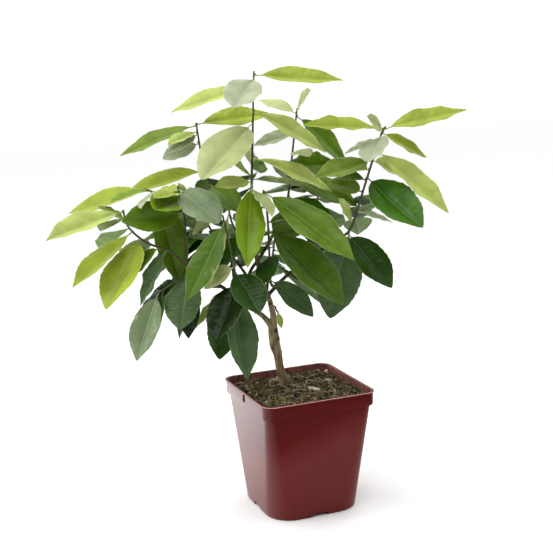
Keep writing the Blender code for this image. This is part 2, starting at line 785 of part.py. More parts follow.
def outside_crown(leaf):
    """True where a leaf's tip leaves the crown's space."""
    droop = math.radians(leaf["droop"])
    reach = leaf["length"] * math.sin(droop / 2) / (droop / 2)
    heading = math.radians(leaf["heading"]) + PLANT_TURN
    rise = math.radians(leaf["rise"])
    tip = leaf["root"] + reach * MM * Vector((math.cos(heading) * math.cos(rise),
                                              math.sin(heading) * math.cos(rise), math.sin(rise)))
    off = tip - plant_point(CROWN_MIDDLE)
    turned = plant_point((CROWN_REACH[0], 0, 0)).normalized()
    across = off.dot(turned)
    along = off.dot(Vector((-turned.y, turned.x, 0)))
    shares = (across / CROWN_REACH[0], along / CROWN_REACH[1], off.z / CROWN_REACH[2])
    return math.hypot(*shares) > MM


def settle_leaf(leaf, boughs, grown, draw, kept_inside):
    """Turn a leaf a little at a time until it is clear of all else, or give it up."""
    heading, rise = leaf["heading"], leaf["rise"]
    for attempt in range(TRIES):
        leaf["heading"] = heading + draw.uniform(-TURN_STEP, TURN_STEP) * attempt
        leaf["rise"] = rise + draw.uniform(-RISE_STEP, RISE_STEP) * attempt
        if kept_inside and outside_crown(leaf):
            continue
        if not touches(leaf, boughs, grown):
            grown.append(leaf_tree(leaf))
            return True
    return False


def new_leaf(root, heading, rise, roll, length, width, draw):
    """The measures of one leaf."""
    return dict(root=root, heading=heading, rise=rise, roll=roll, length=length, width=width,
                droop=draw.uniform(*LEAF_DROOP), bow=draw.uniform(-LEAF_BOW, LEAF_BOW))


def shown_leaves(name, key, path, rows, boughs, grown):
    """The leaves that the plant's front shows, on one stem or twig."""
    kept = []
    for index, (place, heading, rise, roll, length, width) in enumerate(rows):
        draw = random.Random(f"{SEED} {name} {key} {index}")
        leaf = new_leaf(path_point(path, place), heading, rise, roll, length, width, draw)
        if settle_leaf(leaf, boughs, grown, draw, False):
            kept.append(leaf)
    return kept


def spare_leaves(name, path, boughs, grown):
    """Leaves by the seeded rule: each a golden turn round from the last, larger towards the stem's foot."""
    kept = []
    count, lowest, highest = SHOOTS[name]["spare"]
    first, last = SHOOTS[name]["turned"]
    for index in range(count):
        draw = random.Random(f"{SEED} {name} spare {index}")
        place = lowest + (highest - lowest) * (index + draw.uniform(0.2, 0.8)) / count
        heading = first + (index * GOLDEN_TURN + draw.uniform(-SPARE_SCATTER, SPARE_SCATTER)) % (last - first)
        length = SPARE_LENGTH[1] + (SPARE_LENGTH[0] - SPARE_LENGTH[1]) * place
        width = length * draw.uniform(*SPARE_SLENDER)
        rise = SPARE_RISE[0] + (SPARE_RISE[1] - SPARE_RISE[0]) * place + draw.uniform(-SPARE_SCATTER, SPARE_SCATTER)
        roll = draw.uniform(-SPARE_ROLL, SPARE_ROLL)
        leaf = new_leaf(path_point(path, place), heading, rise, roll, length, width, draw)
        if settle_leaf(leaf, boughs, grown, draw, True):
            kept.append(leaf)
    return kept


def stem_path(name, limbs):
    """The smooth path of a shoot's stem, which grows on from its bough's tip."""
    path, _ = limbs[SHOOTS[name]["bough"]]
    return grow_on(path, SHOOTS[name]["stem"])


def twig_path(name):
    """The smooth path of a shoot's side twig, if it has one."""
    points = SHOOTS[name].get("twig")
    return smooth_path([plant_point(point) for point in points], 3) if points else None


def make_shoot(name, path, twig, leaves, limbs, parts):
    """Join a shoot's stem, twig and leaves into one solid."""
    start_radius = limbs[SHOOTS[name]["bough"]][1][-1]
    shoot = tube(name, path, (start_radius, STEM_TIP_RADIUS), 1, parts)
    group = new_collection("leaves")
    if twig:
        tube("twig", twig, TWIG_RADII, 0, group)
    for leaf in leaves:
        object_from(leaf_bmesh(leaf), "leaf", group)
    boolean(shoot, "UNION", group=group)
    remove_collection(group)
    weld(shoot)
    drop_scraps(shoot)
    finish(shoot, "leaf", 35)


def grow_crown(limbs, boughs, parts):
    """Grow all the shoots: first the leaves that show, then the spare ones between them."""
    paths = {name: stem_path(name, limbs) for name in SHOOTS}
    twigs = {name: twig_path(name) for name in SHOOTS}
    leaves = {}
    grown = []
    stems = new_collection("stems")
    for name, path in paths.items():
        start_radius = limbs[SHOOTS[name]["bough"]][1][-1]
        grown.append(limb_tree(tube("stem", path, (start_radius, STEM_TIP_RADIUS), 1, stems)))
        if twigs[name]:
            grown.append(limb_tree(tube("twig", twigs[name], TWIG_RADII, 0, stems)))
    remove_collection(stems)
    for name, shoot in SHOOTS.items():
        leaves[name] = shown_leaves(name, "stem", paths[name], shoot["leaves"], boughs, grown)
        if twigs[name]:
            leaves[name] += shown_leaves(name, "twig", twigs[name], shoot["twig_leaves"], boughs, grown)
    for name in SHOOTS:
        leaves[name] += spare_leaves(name, paths[name], boughs, grown)
    for name in SHOOTS:
        make_shoot(name, paths[name], twigs[name], leaves[name], limbs, parts)


def main():
    """Build the whole plant in its pot."""
    clear_scene()
    parts = new_collection(OBJECT_NAME)
    make_pot(parts)
    make_soil(parts)
    limbs = {}
    trunk = make_trunk(limbs, parts)
    boughs = [limb_tree(trunk)]
    for name in BOUGHS:
        boughs.append(limb_tree(make_bough(name, limbs, parts)))
    grow_crown(limbs, boughs, parts)


main()
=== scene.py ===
"""The looks of the potted four seasons lemon tree.

The pot, compost, bark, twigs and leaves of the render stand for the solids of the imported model. The leaves are
grown again by the model's own seeded rule, and get their veins, folds and finer twigs here.
"""
import math
import random

import bmesh
import bpy
import numpy as np
from mathutils import Matrix, Vector, noise
from mathutils.bvhtree import BVHTree


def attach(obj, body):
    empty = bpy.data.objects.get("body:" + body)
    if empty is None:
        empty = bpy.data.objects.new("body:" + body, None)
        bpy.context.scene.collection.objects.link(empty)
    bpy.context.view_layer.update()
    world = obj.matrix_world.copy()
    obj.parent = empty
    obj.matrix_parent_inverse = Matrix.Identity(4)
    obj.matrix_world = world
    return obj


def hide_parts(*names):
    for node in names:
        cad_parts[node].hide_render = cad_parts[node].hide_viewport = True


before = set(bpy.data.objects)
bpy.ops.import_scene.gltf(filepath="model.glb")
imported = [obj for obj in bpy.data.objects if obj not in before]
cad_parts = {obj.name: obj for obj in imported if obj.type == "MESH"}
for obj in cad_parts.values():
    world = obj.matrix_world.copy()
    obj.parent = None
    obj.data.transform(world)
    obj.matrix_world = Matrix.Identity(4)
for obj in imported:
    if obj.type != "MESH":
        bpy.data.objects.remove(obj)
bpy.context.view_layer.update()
MM = 0.001
CLEARANCE = 0.0003

# The camera: its azimuth and elevation round the pot, its distance, its target and its lens
AZIMUTH = math.radians(-22.44)
ELEVATION = math.radians(11.55)
CAMERA_ROLL = math.radians(-1.68)
CAMERA_DISTANCE = 1.35
TARGET_RIGHT = -0.0231
TARGET_HEIGHT = 0.29495
SENSOR = 36.0
FOCAL_PIXELS = 1085
PHOTO_SIDE = 553

# The pot, as in the model but with rounder corners and a softer lip
POT_SIDE = 0.1515
POT_HEIGHT = 0.155
FOOT_SIDE = 0.1215
FOOT_CORNER = 0.034
RIM_CORNER = 0.010
FOOT_ROUNDING = 0.002
WALL = 0.0018
FLOOR = 0.0025
HEM_HEIGHT = 0.0022
HEM_WIDTH = 0.00175
BAND_HEIGHT = 0.0175
BAND_STEP = 0.0020
CORNER_STEPS = 14
BODY_STEPS = 10
NOTCH_WIDTH = 0.020
NOTCH_HEIGHT = 0.0045
NOTCH_DEPTH = 0.014
SLOT_WIDTH = 0.0080
SLOT_HEIGHT = 0.0095
SLOT_DROP = 0.0010
PANEL_WIDTH = 0.046
PANEL_HEIGHT = 0.0105
PANEL_PROUD = 0.0006
# How far down from the top the hem takes the paler skin, a painted highlight along the rim
HEM_HIGHLIGHT = 0.0006
LEVEL = 0.99
INNER_COLOUR = (0.235, 0.085, 0.070)

# The compost
SOIL_TOP = 0.1475
SOIL_SLOPE = 0.035
SOIL_GRID = 90
CLODS = 1150
# Patches of clods painted dark as shade: how close together they lie and how far they spread
CLOUDS = 48
CLOUD_EDGE = -0.02
MOSS = 220
MOSS_SPOTS = [(-0.053, -0.009), (-0.034, -0.039), (-0.045, 0.020), (0.048, -0.040), (0.010, -0.045)]
FIBRES = 300
STRAWS = 220
CHIPS = 26
GRITS = 14
# Pale bits that show on the compost: x and y, size, heading, and its shares of that size
PALE_BITS = [
    (0.0150, -0.0150, 0.0100, -62, (1.0, 0.24, 0.26)),
    (0.0484, 0.0131, 0.0054, 10, (1.0, 0.80, 0.66)),
    (0.0670, 0.0580, 0.0040, 40, (1.0, 0.60, 0.55)),
    (0.0590, 0.0660, 0.0034, 100, (1.0, 0.70, 0.65)),
    (-0.0523, 0.0443, 0.0028, 80, (1.0, 0.60, 0.50)),
    (-0.0600, -0.0414, 0.0030, 20, (1.0, 0.60, 0.50)),
    (0.0070, 0.0010, 0.0052, -75, (1.0, 0.22, 0.30)),
]
# Pale dead moss beside the trunk, and long pale roots that lie in front of it
TUFT = (-0.0130, 0.0410)
TUFT_STRANDS = 26
ROOTS = [(-0.0036, 0.0230, -80, 0.034), (0.0010, 0.0190, -60, 0.026), (-0.0300, 0.0200, -35, 0.030),
         (-0.0150, -0.0050, -50, 0.024), (0.0300, 0.0150, 160, 0.022)]

# The plant's own frame of right, back and up is turned against the pot
PLANT_TURN = math.radians(-22.5)
SEED = 17

# Trunk and boughs, as in the model: points in millimetres, radii in millimetres
TRUNK_FOOT = 148
TRUNK = [(-14, 26, 136), (-18, 26, 150), (-22.5, 25, 171), (-24.5, 24, 188), (-27, 24, 198), (-29, 23, 214),
         (-30, 23, 231)]
TRUNK_RADII = [6.2, 5.5, 5.3, 5.6, 6.9, 6.7, 5.6]
TRUNK_ARMS = {
    "left": ([(-29, 23, 222), (-41, 21, 239), (-54, 19, 249)], [4.6, 3.5, 2.9]),
    "middle": ([(-29, 23, 222), (-29, 22, 241), (-32, 21, 257)], [4.8, 4.0, 3.5]),
    "spur": ([(-31, 21, 250), (-30, 14, 255), (-27, 9, 255)], [1.4, 1.2, 1.0]),
}
ROOT_FLARES = [(5, 12), (130, 9), (235, 9)]
FLARE_RADII = (3.6, 3.8, 2.2)
KNOTS = [(-25, 17, 221), (-22, 19, 210), (-34, 19, 202), (-20, 20, 191)]
# The skin of each knot: 0 as the trunk, 2 dark, 3 a pale scar
KNOT_SKINS = [2, 2, 0, 3]
FORK_HEIGHT = 0.264
BARK_BLEND = 0.016
TRUNK_BARK = [(0.065, 0.042, 0.020), (0.215, 0.155, 0.085), (0.350, 0.275, 0.165), (0.470, 0.400, 0.270)]
BOUGH_BARK = [(0.018, 0.014, 0.007), (0.060, 0.048, 0.024), (0.110, 0.092, 0.048), (0.180, 0.155, 0.090)]
KNOT_BARK = [(0.020, 0.014, 0.014), (0.050, 0.036, 0.034), (0.095, 0.072, 0.062), (0.160, 0.130, 0.105)]
SCAR_BARK = [(0.220, 0.185, 0.130), (0.340, 0.310, 0.240), (0.460, 0.430, 0.350), (0.560, 0.530, 0.450)]
KNOT_HEIGHT = 0.0016
KNOT_SIZE = 0.0032
BOUGHS = {
    "bough_leader": ("middle", [(-42, 13, 290), (-49, 2, 335), (-50, -4, 385)], (3.5, 2.1)),
    "bough_left": ("left", [(-68, 15, 263), (-92, 4, 283), (-115, -8, 300)], (2.9, 2.0)),
    "bough_right": ("bough_leader", [(-35, 18, 267), (-12, 20, 290), (18, 24, 312), (55, 20, 336)], (2.6, 1.9)),
    "bough_back_upper": ("bough_left", [(-60, 17, 254), (-58, 28, 292), (-40, 36, 318), (-18, 46, 354)],
                         (2.4, 1.9)),
    "bough_left_upper": ("bough_left", [(-76, 12, 270), (-78, 17, 305), (-88, 25, 352), (-100, 30, 395)],
                         (2.1, 1.7)),
    "bough_lower_left": ("bough_left", [(-92, 4, 283), (-110, -15, 289), (-127, -30, 304)], (1.9, 1.6)),
    "bough_far_left": ("bough_left", [(-103, -2, 291), (-121, -28, 307), (-148, -38, 336)], (1.9, 1.6)),
    "bough_front_left": ("bough_left", [(-64, 16, 258), (-70, -4, 267), (-74, -20, 280)], (2.1, 1.8)),
    "bough_front_right": ("bough_right", [(-26, 18, 278), (-29, 9, 282), (-31, 0, 288)], (2.1, 1.8)),
    "bough_middle": ("bough_leader", [(-46, 6, 318), (-58, 4, 330), (-66, 0, 344)], (1.9, 1.6)),
    "bough_back_left": ("bough_back_upper", [(-58, 27, 287), (-74, 52, 305), (-96, 76, 326)], (2.0, 1.7)),
    "bough_back_right": ("bough_right", [(2, 22, 301), (16, 50, 322), (26, 78, 344)], (2.0, 1.7)),
    "bough_back_low": ("bough_leader", [(-36, 17, 271), (-34, 44, 284), (-30, 72, 296)], (2.0, 1.7)),
}

# The shoots' leaves as in the model, each (place, heading, rise, roll, length, width), and a letter for its tone
SHOOTS = {
    "foliage_leader": dict(
        bough="bough_leader",
        stem=[(-50, -5, 412), (-47, -5, 468), (-43, -5, 547)],
        leaves=[
            (0.97, 5, -5, 30, 108, 38, "y"),
            (0.95, -110, -25, -15, 75, 44, "w"),
            (0.88, 170, -15, -30, 108, 36, "l"),
            (0.70, 20, -30, 40, 110, 38, "l"),
            (0.62, -135, -35, -20, 105, 58, "p"),
            (0.36, 15, -25, 30, 112, 36, "l"),
            (0.20, 30, -10, 10, 85, 30, "a"),
            (0.17, -95, -50, -25, 118, 38, "c"),
            (0.13, -70, -20, -20, 75, 26, "p"),
            (0.18, -135, 0, -35, 60, 24, "l"),
            (0.30, 120, 45, 35, 60, 36, "p"),
            (0.22, 150, 35, 30, 52, 30, "b"),
            (0.27, 70, 5, 50, 44, 26, "b"),
        ],
        spare=(5, 0.05, 0.40), turned=(60, 140)),
    "foliage_left_upper": dict(
        bough="bough_left_upper",
        stem=[(-108, 30, 425), (-113, 30, 453), (-117, 30, 486)],
        leaves=[
            (0.97, 25, 5, 35, 102, 36, "y"),
            (0.96, 175, -20, -30, 105, 34, "a"),
            (0.88, -135, -15, -15, 50, 22, "l"),
            (0.84, -140, -15, -25, 50, 24, "w"),
            (0.72, -165, -20, -40, 50, 26, "w"),
            (0.34, 170, -15, -30, 110, 36, "y"),
            (0.15, -60, -20, 20, 80, 34, "b"),
        ],
        spare=(5, 0.05, 0.35), turned=(40, 130)),
    "foliage_back_upper": dict(
        bough="bough_back_upper",
        stem=[(-6, 53, 385), (0, 58, 430), (9, 60, 499)],
        leaves=[
            (0.93, 15, -45, 55, 95, 34, "b"),
            (0.97, -70, 30, 70, 55, 24, "p"),
            (0.95, 140, 15, -20, 65, 24, "p"),
            (0.78, 170, -15, -35, 55, 26, "w"),
            (0.62, -70, 0, 15, 60, 26, "p"),
            (0.50, 55, -25, 70, 75, 36, "e"),
            (0.40, -25, -15, 35, 95, 38, "b"),
            (0.25, -25, -35, 40, 75, 36, "e"),
            (0.34, -5, 0, 35, 62, 20, "p"),
            (0.15, -25, -30, 30, 72, 36, "d"),
            (0.48, 25, 0, 50, 66, 38, "b"),
        ],
        spare=(6, 0.05, 0.60), turned=(60, 190)),
    "foliage_right": dict(
        bough="bough_right",
        stem=[(72, 10, 353), (88, 0, 405), (107, -5, 464), (114, -5, 477)],
        leaves=[
            (0.97, -170, 5, -25, 100, 34, "y"),
            (0.96, -130, 30, -70, 38, 20, "p"),
            (0.97, 15, 10, 25, 112, 38, "y"),
            (0.94, 10, -30, 35, 65, 26, "y"),
            (0.92, -115, -30, 10, 55, 38, "w"),
            (0.88, 150, -20, -25, 50, 20, "w"),
            (0.80, -20, -40, 30, 117, 36, "l"),
            (0.72, 40, -25, 50, 60, 26, "l"),
            (0.72, -150, -10, -30, 85, 34, "a"),
            (0.56, 155, 10, -30, 45, 20, "m"),
            (0.58, -50, -30, 30, 105, 50, "e"),
            (0.30, 15, -20, 25, 50, 16, "w"),
            (0.20, -130, 50, -80, 45, 18, "l"),
            (0.15, -160, -75, -65, 116, 58, "g"),
            (0.10, -40, -55, 35, 90, 42, "d"),
            (0.64, 140, 10, -35, 40, 18, "y"),
            (0.46, 160, 15, -35, 48, 28, "a"),
        ],
        spare=(5, 0.10, 0.60), turned=(80, 150)),
    "foliage_left": dict(
        bough="bough_left",
        stem=[(-133, -20, 320), (-132, -20, 370), (-139, -20, 414)],
        leaves=[
            (0.97, -40, -30, 25, 75, 46, "s"),
            (0.95, 125, -5, -25, 55, 24, "y"),
            (0.92, -105, -5, -10, 60, 26, "y"),
            (0.97, 75, -15, 55, 40, 20, "y"),
            (0.85, -110, 0, -30, 65, 38, "c"),
            (0.72, -145, 0, -65, 84, 38, "b"),
            (0.60, 40, -10, 40, 30, 18, "s"),
        ],
        twig=[(-134, -20, 390), (-155, -22, 402), (-178, -25, 412)],
        twig_leaves=[
            (0.88, 165, -15, -30, 112, 40, "y"),
            (0.97, -135, -10, -5, 55, 20, "c"),
            (0.80, -95, -15, 30, 50, 20, "w"),
            (0.85, 30, -75, 80, 126, 46, "b"),
        ],
        spare=(4, 0.40, 0.90), turned=(60, 120)),
    "foliage_far_left": dict(
        bough="bough_far_left",
        stem=[(-178, -42, 350), (-198, -44, 370), (-203, -44, 390)],
        leaves=[
            (0.97, -135, -10, -20, 112, 38, "l"),
            (0.65, -125, -25, 0, 115, 38, "y"),
            (0.50, -110, -35, 5, 115, 50, "y"),
            (0.35, 140, -45, -60, 105, 34, "d"),
            (0.85, 160, 25, 0, 40, 20, "a"),
            (0.20, 150, -40, -55, 60, 24, "b"),
            (0.08, 155, -60, -60, 84, 30, "g"),
        ],
        spare=(3, 0.45, 0.95), turned=(95, 145)),
    "foliage_lower_left": dict(
        bough="bough_lower_left",
        stem=[(-146, -42, 300), (-167, -50, 288)],
        leaves=[
            (0.05, -100, -45, 5, 76, 46, "g"),
            (0.95, -120, -55, -10, 88, 38, "s"),
            (0.80, 145, -35, -35, 60, 22, "k"),
            (0.40, 150, -45, -55, 60, 34, "d"),
            (0.80, -105, -60, 25, 62, 26, "d"),
            (0.12, 120, -70, -85, 90, 36, "d"),
            (0.15, -90, -85, 5, 76, 30, "k"),
        ],
        spare=(4, 0.05, 0.95), turned=(80, 150)),
    "foliage_front_left": dict(
        bough="bough_front_left",
        stem=[(-72, -48, 303), (-76, -60, 340), (-84, -64, 383)],
        leaves=[
            (0.40, -50, -45, 15, 62, 44, "d"),
            (0.25, -110, -40, 5, 85, 46, "k"),
            (0.08, -75, -65, -20, 112, 44, "g"),
            (0.15, 175, -45, -20, 75, 28, "l"),
            (0.04, -165, -75, -75, 88, 42, "d"),
            (0.93, -130, -50, -20, 108, 36, "m"),
            (0.45, 175, -35, -40, 45, 28, "p"),
        ],
        spare=(5, 0.20, 0.90), turned=(0, 150)),
    "foliage_front_right": dict(
        bough="bough_front_right",
        stem=[(-31, -10, 312), (-32, -8, 372), (-36, -4, 404)],
        leaves=[
            (0.97, -35, -30, 30, 148, 46, "b"),
            (0.58, -30, -40, 25, 132, 56, "m"),
            (0.04, -15, -40, 40, 71, 32, "g"),
            (0.32, -95, -30, 30, 50, 34, "d"),
            (0.66, -20, 20, 20, 38, 28, "b"),
            (0.50, 40, 5, 30, 60, 30, "b"),
        ],
        spare=(4, 0.30, 0.90), turned=(10, 170)),
    "foliage_middle": dict(
        bough="bough_middle",
        stem=[(-76, -6, 366), (-80, -10, 392)],
        leaves=[
            (0.75, -115, -55, 35, 95, 28, "l"),
            (0.10, -100, -30, 10, 45, 38, "e"),
            (0.05, 165, -55, -50, 66, 38, "d"),
            (0.97, -150, -20, 0, 60, 34, "p"),
            (0.60, 60, -30, 40, 75, 36, "k"),
            (0.20, 90, -45, 40, 75, 36, "k"),
        ],
        spare=(3, 0.30, 0.90), turned=(20, 160)),
    "foliage_back_left": dict(
        bough="bough_back_left",
        stem=[(-112, 96, 350), (-124, 116, 392)],
        leaves=[],
        spare=(14, 0.05, 0.97), turned=(40, 240)),
    "foliage_back_right": dict(
        bough="bough_back_right",
        stem=[(34, 104, 374), (38, 126, 416)],
        leaves=[],
        spare=(14, 0.05, 0.97), turned=(60, 175)),
    "foliage_back_low": dict(
        bough="bough_back_low",
        stem=[(-26, 104, 312), (-22, 138, 338)],
        leaves=[],
        spare=(12, 0.05, 0.97), turned=(0, 180)),
    "foliage_sprig": dict(
        bough="spur",
        stem=[(-25, 5, 252), (-23, 2, 249)],
        leaves=[
            (0.90, -50, -70, 20, 22, 9, "l"),
        ],
        spare=(0, 0.05, 0.95), turned=(0, 90)),
}
LEAD = 0.003
STEM_TIP_RADIUS = 1.1
TWIG_RADII = (1.4, 1.0)

# The model's leaf, which the rule tests for room with
LEAF_ROWS = 8
LEAF_SIDES = 4
LEAF_THICK = 0.014
LEAF_FOLD = math.radians(16)
LEAF_DROOP = (8, 22)
LEAF_BOW = 0.025
FULL_SLENDER = 0.85
FULL_RANGE = 0.28
FULL_GAIN = 1.2
SLENDER = 0.34
BLADE_SKEW = 0.92
STALK_SHARE = 0.09
STALK_RADIUS = 0.85
ROOT_BEHIND = 0.012
GOLDEN_TURN = 137.5
TEST_SWELL = 0.35
ROOT_SHARE = 0.07
TRIES = 7
TURN_STEP = 4
RISE_STEP = 3
SPARE_LENGTH = (78, 112)
SPARE_SLENDER = (0.36, 0.44)
SPARE_RISE = (-38, -4)
SPARE_ROLL = 25
SPARE_SCATTER = 12
SPARE_TONES = [(0.25, "d"), (0.50, "e"), (0.80, "m"), (1.00, "b")]
CROWN_MIDDLE = (-45, 30, 350)
CROWN_REACH = (270, 215, 200)

# The finer leaf: vein pairs, rows between two veins, columns on each side of the midrib
VEIN_PAIRS = 10
ROWS_PER_VEIN = 4
LEAF_COLUMNS = 7
RIM_SHARE = 0.965
VEIN_SLANT = 0.17
VEIN_DEPTH = 0.00045
LEAF_HALF_THICK = 0.00022
RIB_WIDTH = (0.00060, 0.00012)

# What differs from leaf to leaf: how much of the fold it has, how far its blade curls down again towards the edge,
# its twist in degrees, the waves of its edge as a share of its half width, and the height of its soft swellings
FOLD_SHARE = (1.1, 2.3)
FOLD_FADE = 0.25
FOLD_CENTRING = 0.45
EDGE_CURL = (0.05, 0.45)
LEAF_TWIST = 15
EDGE_WAVE = (0.03, 0.10)
SWELL_HEIGHT = (0.0003, 0.0010)
SWELL_SIZE = 0.020
TIP_START = 0.80
TIP_PINCH = 0.22

# Leaf tones: upper side and underside, in linear colour, with the upper side's roughness. The undersides are paler,
# as real undersides are, and brightened further with painted light.
TONES = {
    # The tones y, l and p are partly the young leaves' own colour and partly painted backlight shining through them
    "y": ((0.290, 0.360, 0.035), (0.380, 0.450, 0.100), 0.34),
    "l": ((0.400, 0.480, 0.115), (0.500, 0.560, 0.210), 0.36),
    "p": ((0.380, 0.430, 0.180), (0.500, 0.545, 0.300), 0.38),
    "b": ((0.095, 0.175, 0.008), (0.210, 0.290, 0.060), 0.32),
    "c": ((0.165, 0.270, 0.008), (0.290, 0.380, 0.060), 0.32),
    "m": ((0.060, 0.125, 0.007), (0.150, 0.230, 0.060), 0.32),
    "o": ((0.105, 0.160, 0.018), (0.190, 0.240, 0.080), 0.34),
    "d": ((0.018, 0.056, 0.004), (0.055, 0.110, 0.022), 0.30),
    "k": ((0.007, 0.022, 0.002), (0.034, 0.070, 0.014), 0.30),
    "e": ((0.036, 0.120, 0.004), (0.095, 0.170, 0.030), 0.30),
    "a": ((0.150, 0.225, 0.024), (0.250, 0.310, 0.100), 0.30),
    # Painted sheen: the tone g is dark green greyed by a painted sheen, and the tones s and w are the bright studio's
    # reflection on glossy leaves painted into their colour
    "g": ((0.072, 0.125, 0.045), (0.200, 0.260, 0.150), 0.26),
    "s": ((0.200, 0.268, 0.140), (0.330, 0.390, 0.250), 0.28),
    "w": ((0.360, 0.410, 0.260), (0.500, 0.545, 0.380), 0.30),
}
RIM_TINT = (0.300, 0.380, 0.090)
# Random patches on each leaf's upper side, darker and paler; the paler ones are painted sheen
PATCH_DEEP = 0.86
PATCH_GAIN = 1.15
PATCH_SHEEN = (0.004, 0.006, 0.002)
PATCH_SCALE = 38.0
TONE_WORDS = {"y": "young", "l": "light", "p": "pale", "b": "bright", "m": "green", "o": "olive", "d": "dark",
              "k": "deep", "e": "emerald", "g": "grey_sheen", "w": "whitish_sheen", "a": "fresh", "c": "lime", "s": "sheen"}

# The studio: the way that its light comes from, and its strength there and opposite
WORLD_AXIS = (0.15, 0.60, 0.78)
WORLD_BRIGHT = 1.25
WORLD_DIM = 0.12


# Small helpers


def plant_point(point):
    """Metres in the pot's frame for (right, back, up) in millimetres."""
    right, back, up = point
    turn_cos = math.cos(PLANT_TURN)
    turn_sin = math.sin(PLANT_TURN)
    return Vector((right * turn_cos - back * turn_sin, right * turn_sin + back * turn_cos, up)) * MM


def smooth_path(points, steps=4):
    """Points on a smooth curve through the given ones, also past their ends' slopes."""
    ends = [points[0] * 2 - points[1]] + list(points) + [points[-1] * 2 - points[-2]]
    path = []
    for before, start, end, after in zip(ends, ends[1:], ends[2:], ends[3:]):
        for step in range(steps):
            t = step / steps
            path.append(0.5 * (2 * start + (end - before) * t
                               + (2 * before - 5 * start + 4 * end - after) * t ** 2
                               + (3 * start - before - 3 * end + after) * t ** 3))
    path.append(points[-1].copy())
    return path


def grow_on(path, points):
    """A path that leaves the end of another 0.3 mm clear and square to it, then bends through some points."""
    ahead = (path[-1] - path[-2]).normalized()
    start = path[-1] + ahead * CLEARANCE
    lead = path[-1] + ahead * LEAD
    return [start] + smooth_path([lead] + [plant_point(point) for point in points], 3)


def spread(values, count):
    """Stretch a short row of numbers evenly to a longer one."""
    result = []
    for index in range(count):
        place = index / (count - 1) * (len(values) - 1)
        low = min(int(place), len(values) - 2)
        result.append(values[low] + (values[low + 1] - values[low]) * (place - low))
    return result


def path_point(path, place):
    """The point at a share of a path's length."""
    lengths = [(end - start).length for start, end in zip(path, path[1:])]
    left = place * sum(lengths)
    for start, end, length in zip(path, path[1:], lengths):
        if left <= length:
            return start.lerp(end, left / length)
        left -= length
    return path[-1].copy()


def path_ahead(path, place):
    """The direction of a path at a share of its length."""
    return (path_point(path, min(1.0, place + 0.02)) - path_point(path, max(0.0, place - 0.02))).normalized()


class Heap:
    """Points and faces gathered for one mesh, with a material number for each face."""

    def __init__(self):
        self.points = []
        self.faces = []
        self.slots = []
        self.count = 0

    def add(self, points, faces, slots):
        """Take in one more shape."""
        self.points.append(np.asarray(points, dtype=float))
        self.faces.append(np.asarray(faces, dtype=int) + self.count)
        self.slots.append(np.asarray(slots, dtype=int))
        self.count += len(points)

    def to_object(self, name, materials, smooth=True):
        """One object of all that was gathered."""
        points = np.concatenate(self.points)
        faces = [tuple(face) for group in self.faces for face in group.tolist()]
        mesh = bpy.data.meshes.new(name)
        mesh.from_pydata(points.tolist(), [], faces)
        mesh.polygons.foreach_set("material_index", np.concatenate(self.slots))
        for skin in materials:
            mesh.materials.append(skin)
        if smooth:
            mesh.shade_smooth()
        mesh.update()
        thing = bpy.data.objects.new(name, mesh)
        bpy.context.scene.collection.objects.link(thing)
        return thing


def mesh_object(name, mesh, materials):
    """An object of a mesh, with its materials."""
    thing = bpy.data.objects.new(name, mesh)
    bpy.context.scene.collection.objects.link(thing)
    for skin in materials:
        mesh.materials.append(skin)
    return thing


def declare(thing, slot, *nodes):
    """Say what a piece rides on and which solids it stands for; the slot, the finish it is named for, is not used."""
    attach(thing, "root")
    if nodes:
        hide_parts(*nodes)


def tube_shape(path, radii, sides, heap, slot=0, lumps=None):
    """A round tapering tube with pointed ends, added to a heap."""
    path = [Vector(point) for point in path]
    ahead = (path[1] - path[0]).normalized()
    across = ahead.orthogonal().normalized()
    points = [tuple(path[0])]
    for index, place in enumerate(path):
        before = path[max(0, index - 1)]
        after = path[min(len(path) - 1, index + 1)]
        turned = (after - before).normalized()
        across = (across - turned * across.dot(turned)).normalized()
        other = turned.cross(across)
        for side in range(sides):
            angle = 2 * math.pi * side / sides
            radius = radii[index] * MM
            if lumps:
                radius *= lumps(index, angle)
            points.append(tuple(place + (across * math.cos(angle) + other * math.sin(angle)) * radius))
    points.append(tuple(path[-1]))
    quads = []
    for ring in range(len(path) - 1):
        for side in range(sides):
            nxt = (side + 1) % sides
            low = 1 + ring * sides
            quads.append((low + side, low + nxt, low + sides + nxt, low + sides + side))
    last = len(points) - 1
    for side in range(sides):
        nxt = (side + 1) % sides
        quads.append((0, 1 + nxt, 1 + side, 1 + side))
        quads.append((last, last - sides + side, last - sides + nxt, last - sides + nxt))
    clean = [tuple(dict.fromkeys(quad)) for quad in quads]
    heap_add_mixed(heap, points, clean, slot)


def heap_add_mixed(heap, points, faces, slot):
    """Add triangles and quads to a heap, one kind at a time."""
    start = heap.count
    heap.points.append(np.asarray(points, dtype=float))
    for size in (3, 4):
        group = [face for face in faces if len(face) == size]
        if group:
            heap.faces.append(np.asarray(group, dtype=int) + start)
            heap.slots.append(np.full(len(group), slot))
    heap.count += len(points)


# Materials


def new_skin(name, rough, colour=None):
    """A Principled material; returns it with its node tree and shader."""
    skin = bpy.data.materials.new(name)
    skin.use_nodes = True
    tree = skin.node_tree
    shader = tree.nodes["Principled BSDF"]
    shader.inputs["Roughness"].default_value = rough
    if colour:
        shader.inputs["Base Color"].default_value = (*colour, 1.0)
    return skin, tree, shader


def noise_node(tree, scale, detail=4.0, rough=0.55, stretch=None):
    """A noise texture in the object's own coordinates."""
    node = tree.nodes.new("ShaderNodeTexNoise")
    node.inputs["Scale"].default_value = scale
    node.inputs["Detail"].default_value = detail
    node.inputs["Roughness"].default_value = rough
    coords = tree.nodes.new("ShaderNodeTexCoord")
    if stretch:
        mapping = tree.nodes.new("ShaderNodeMapping")
        mapping.inputs["Scale"].default_value = stretch
        tree.links.new(coords.outputs["Object"], mapping.inputs["Vector"])
        tree.links.new(mapping.outputs["Vector"], node.inputs["Vector"])
    else:
        tree.links.new(coords.outputs["Object"], node.inputs["Vector"])
    return node


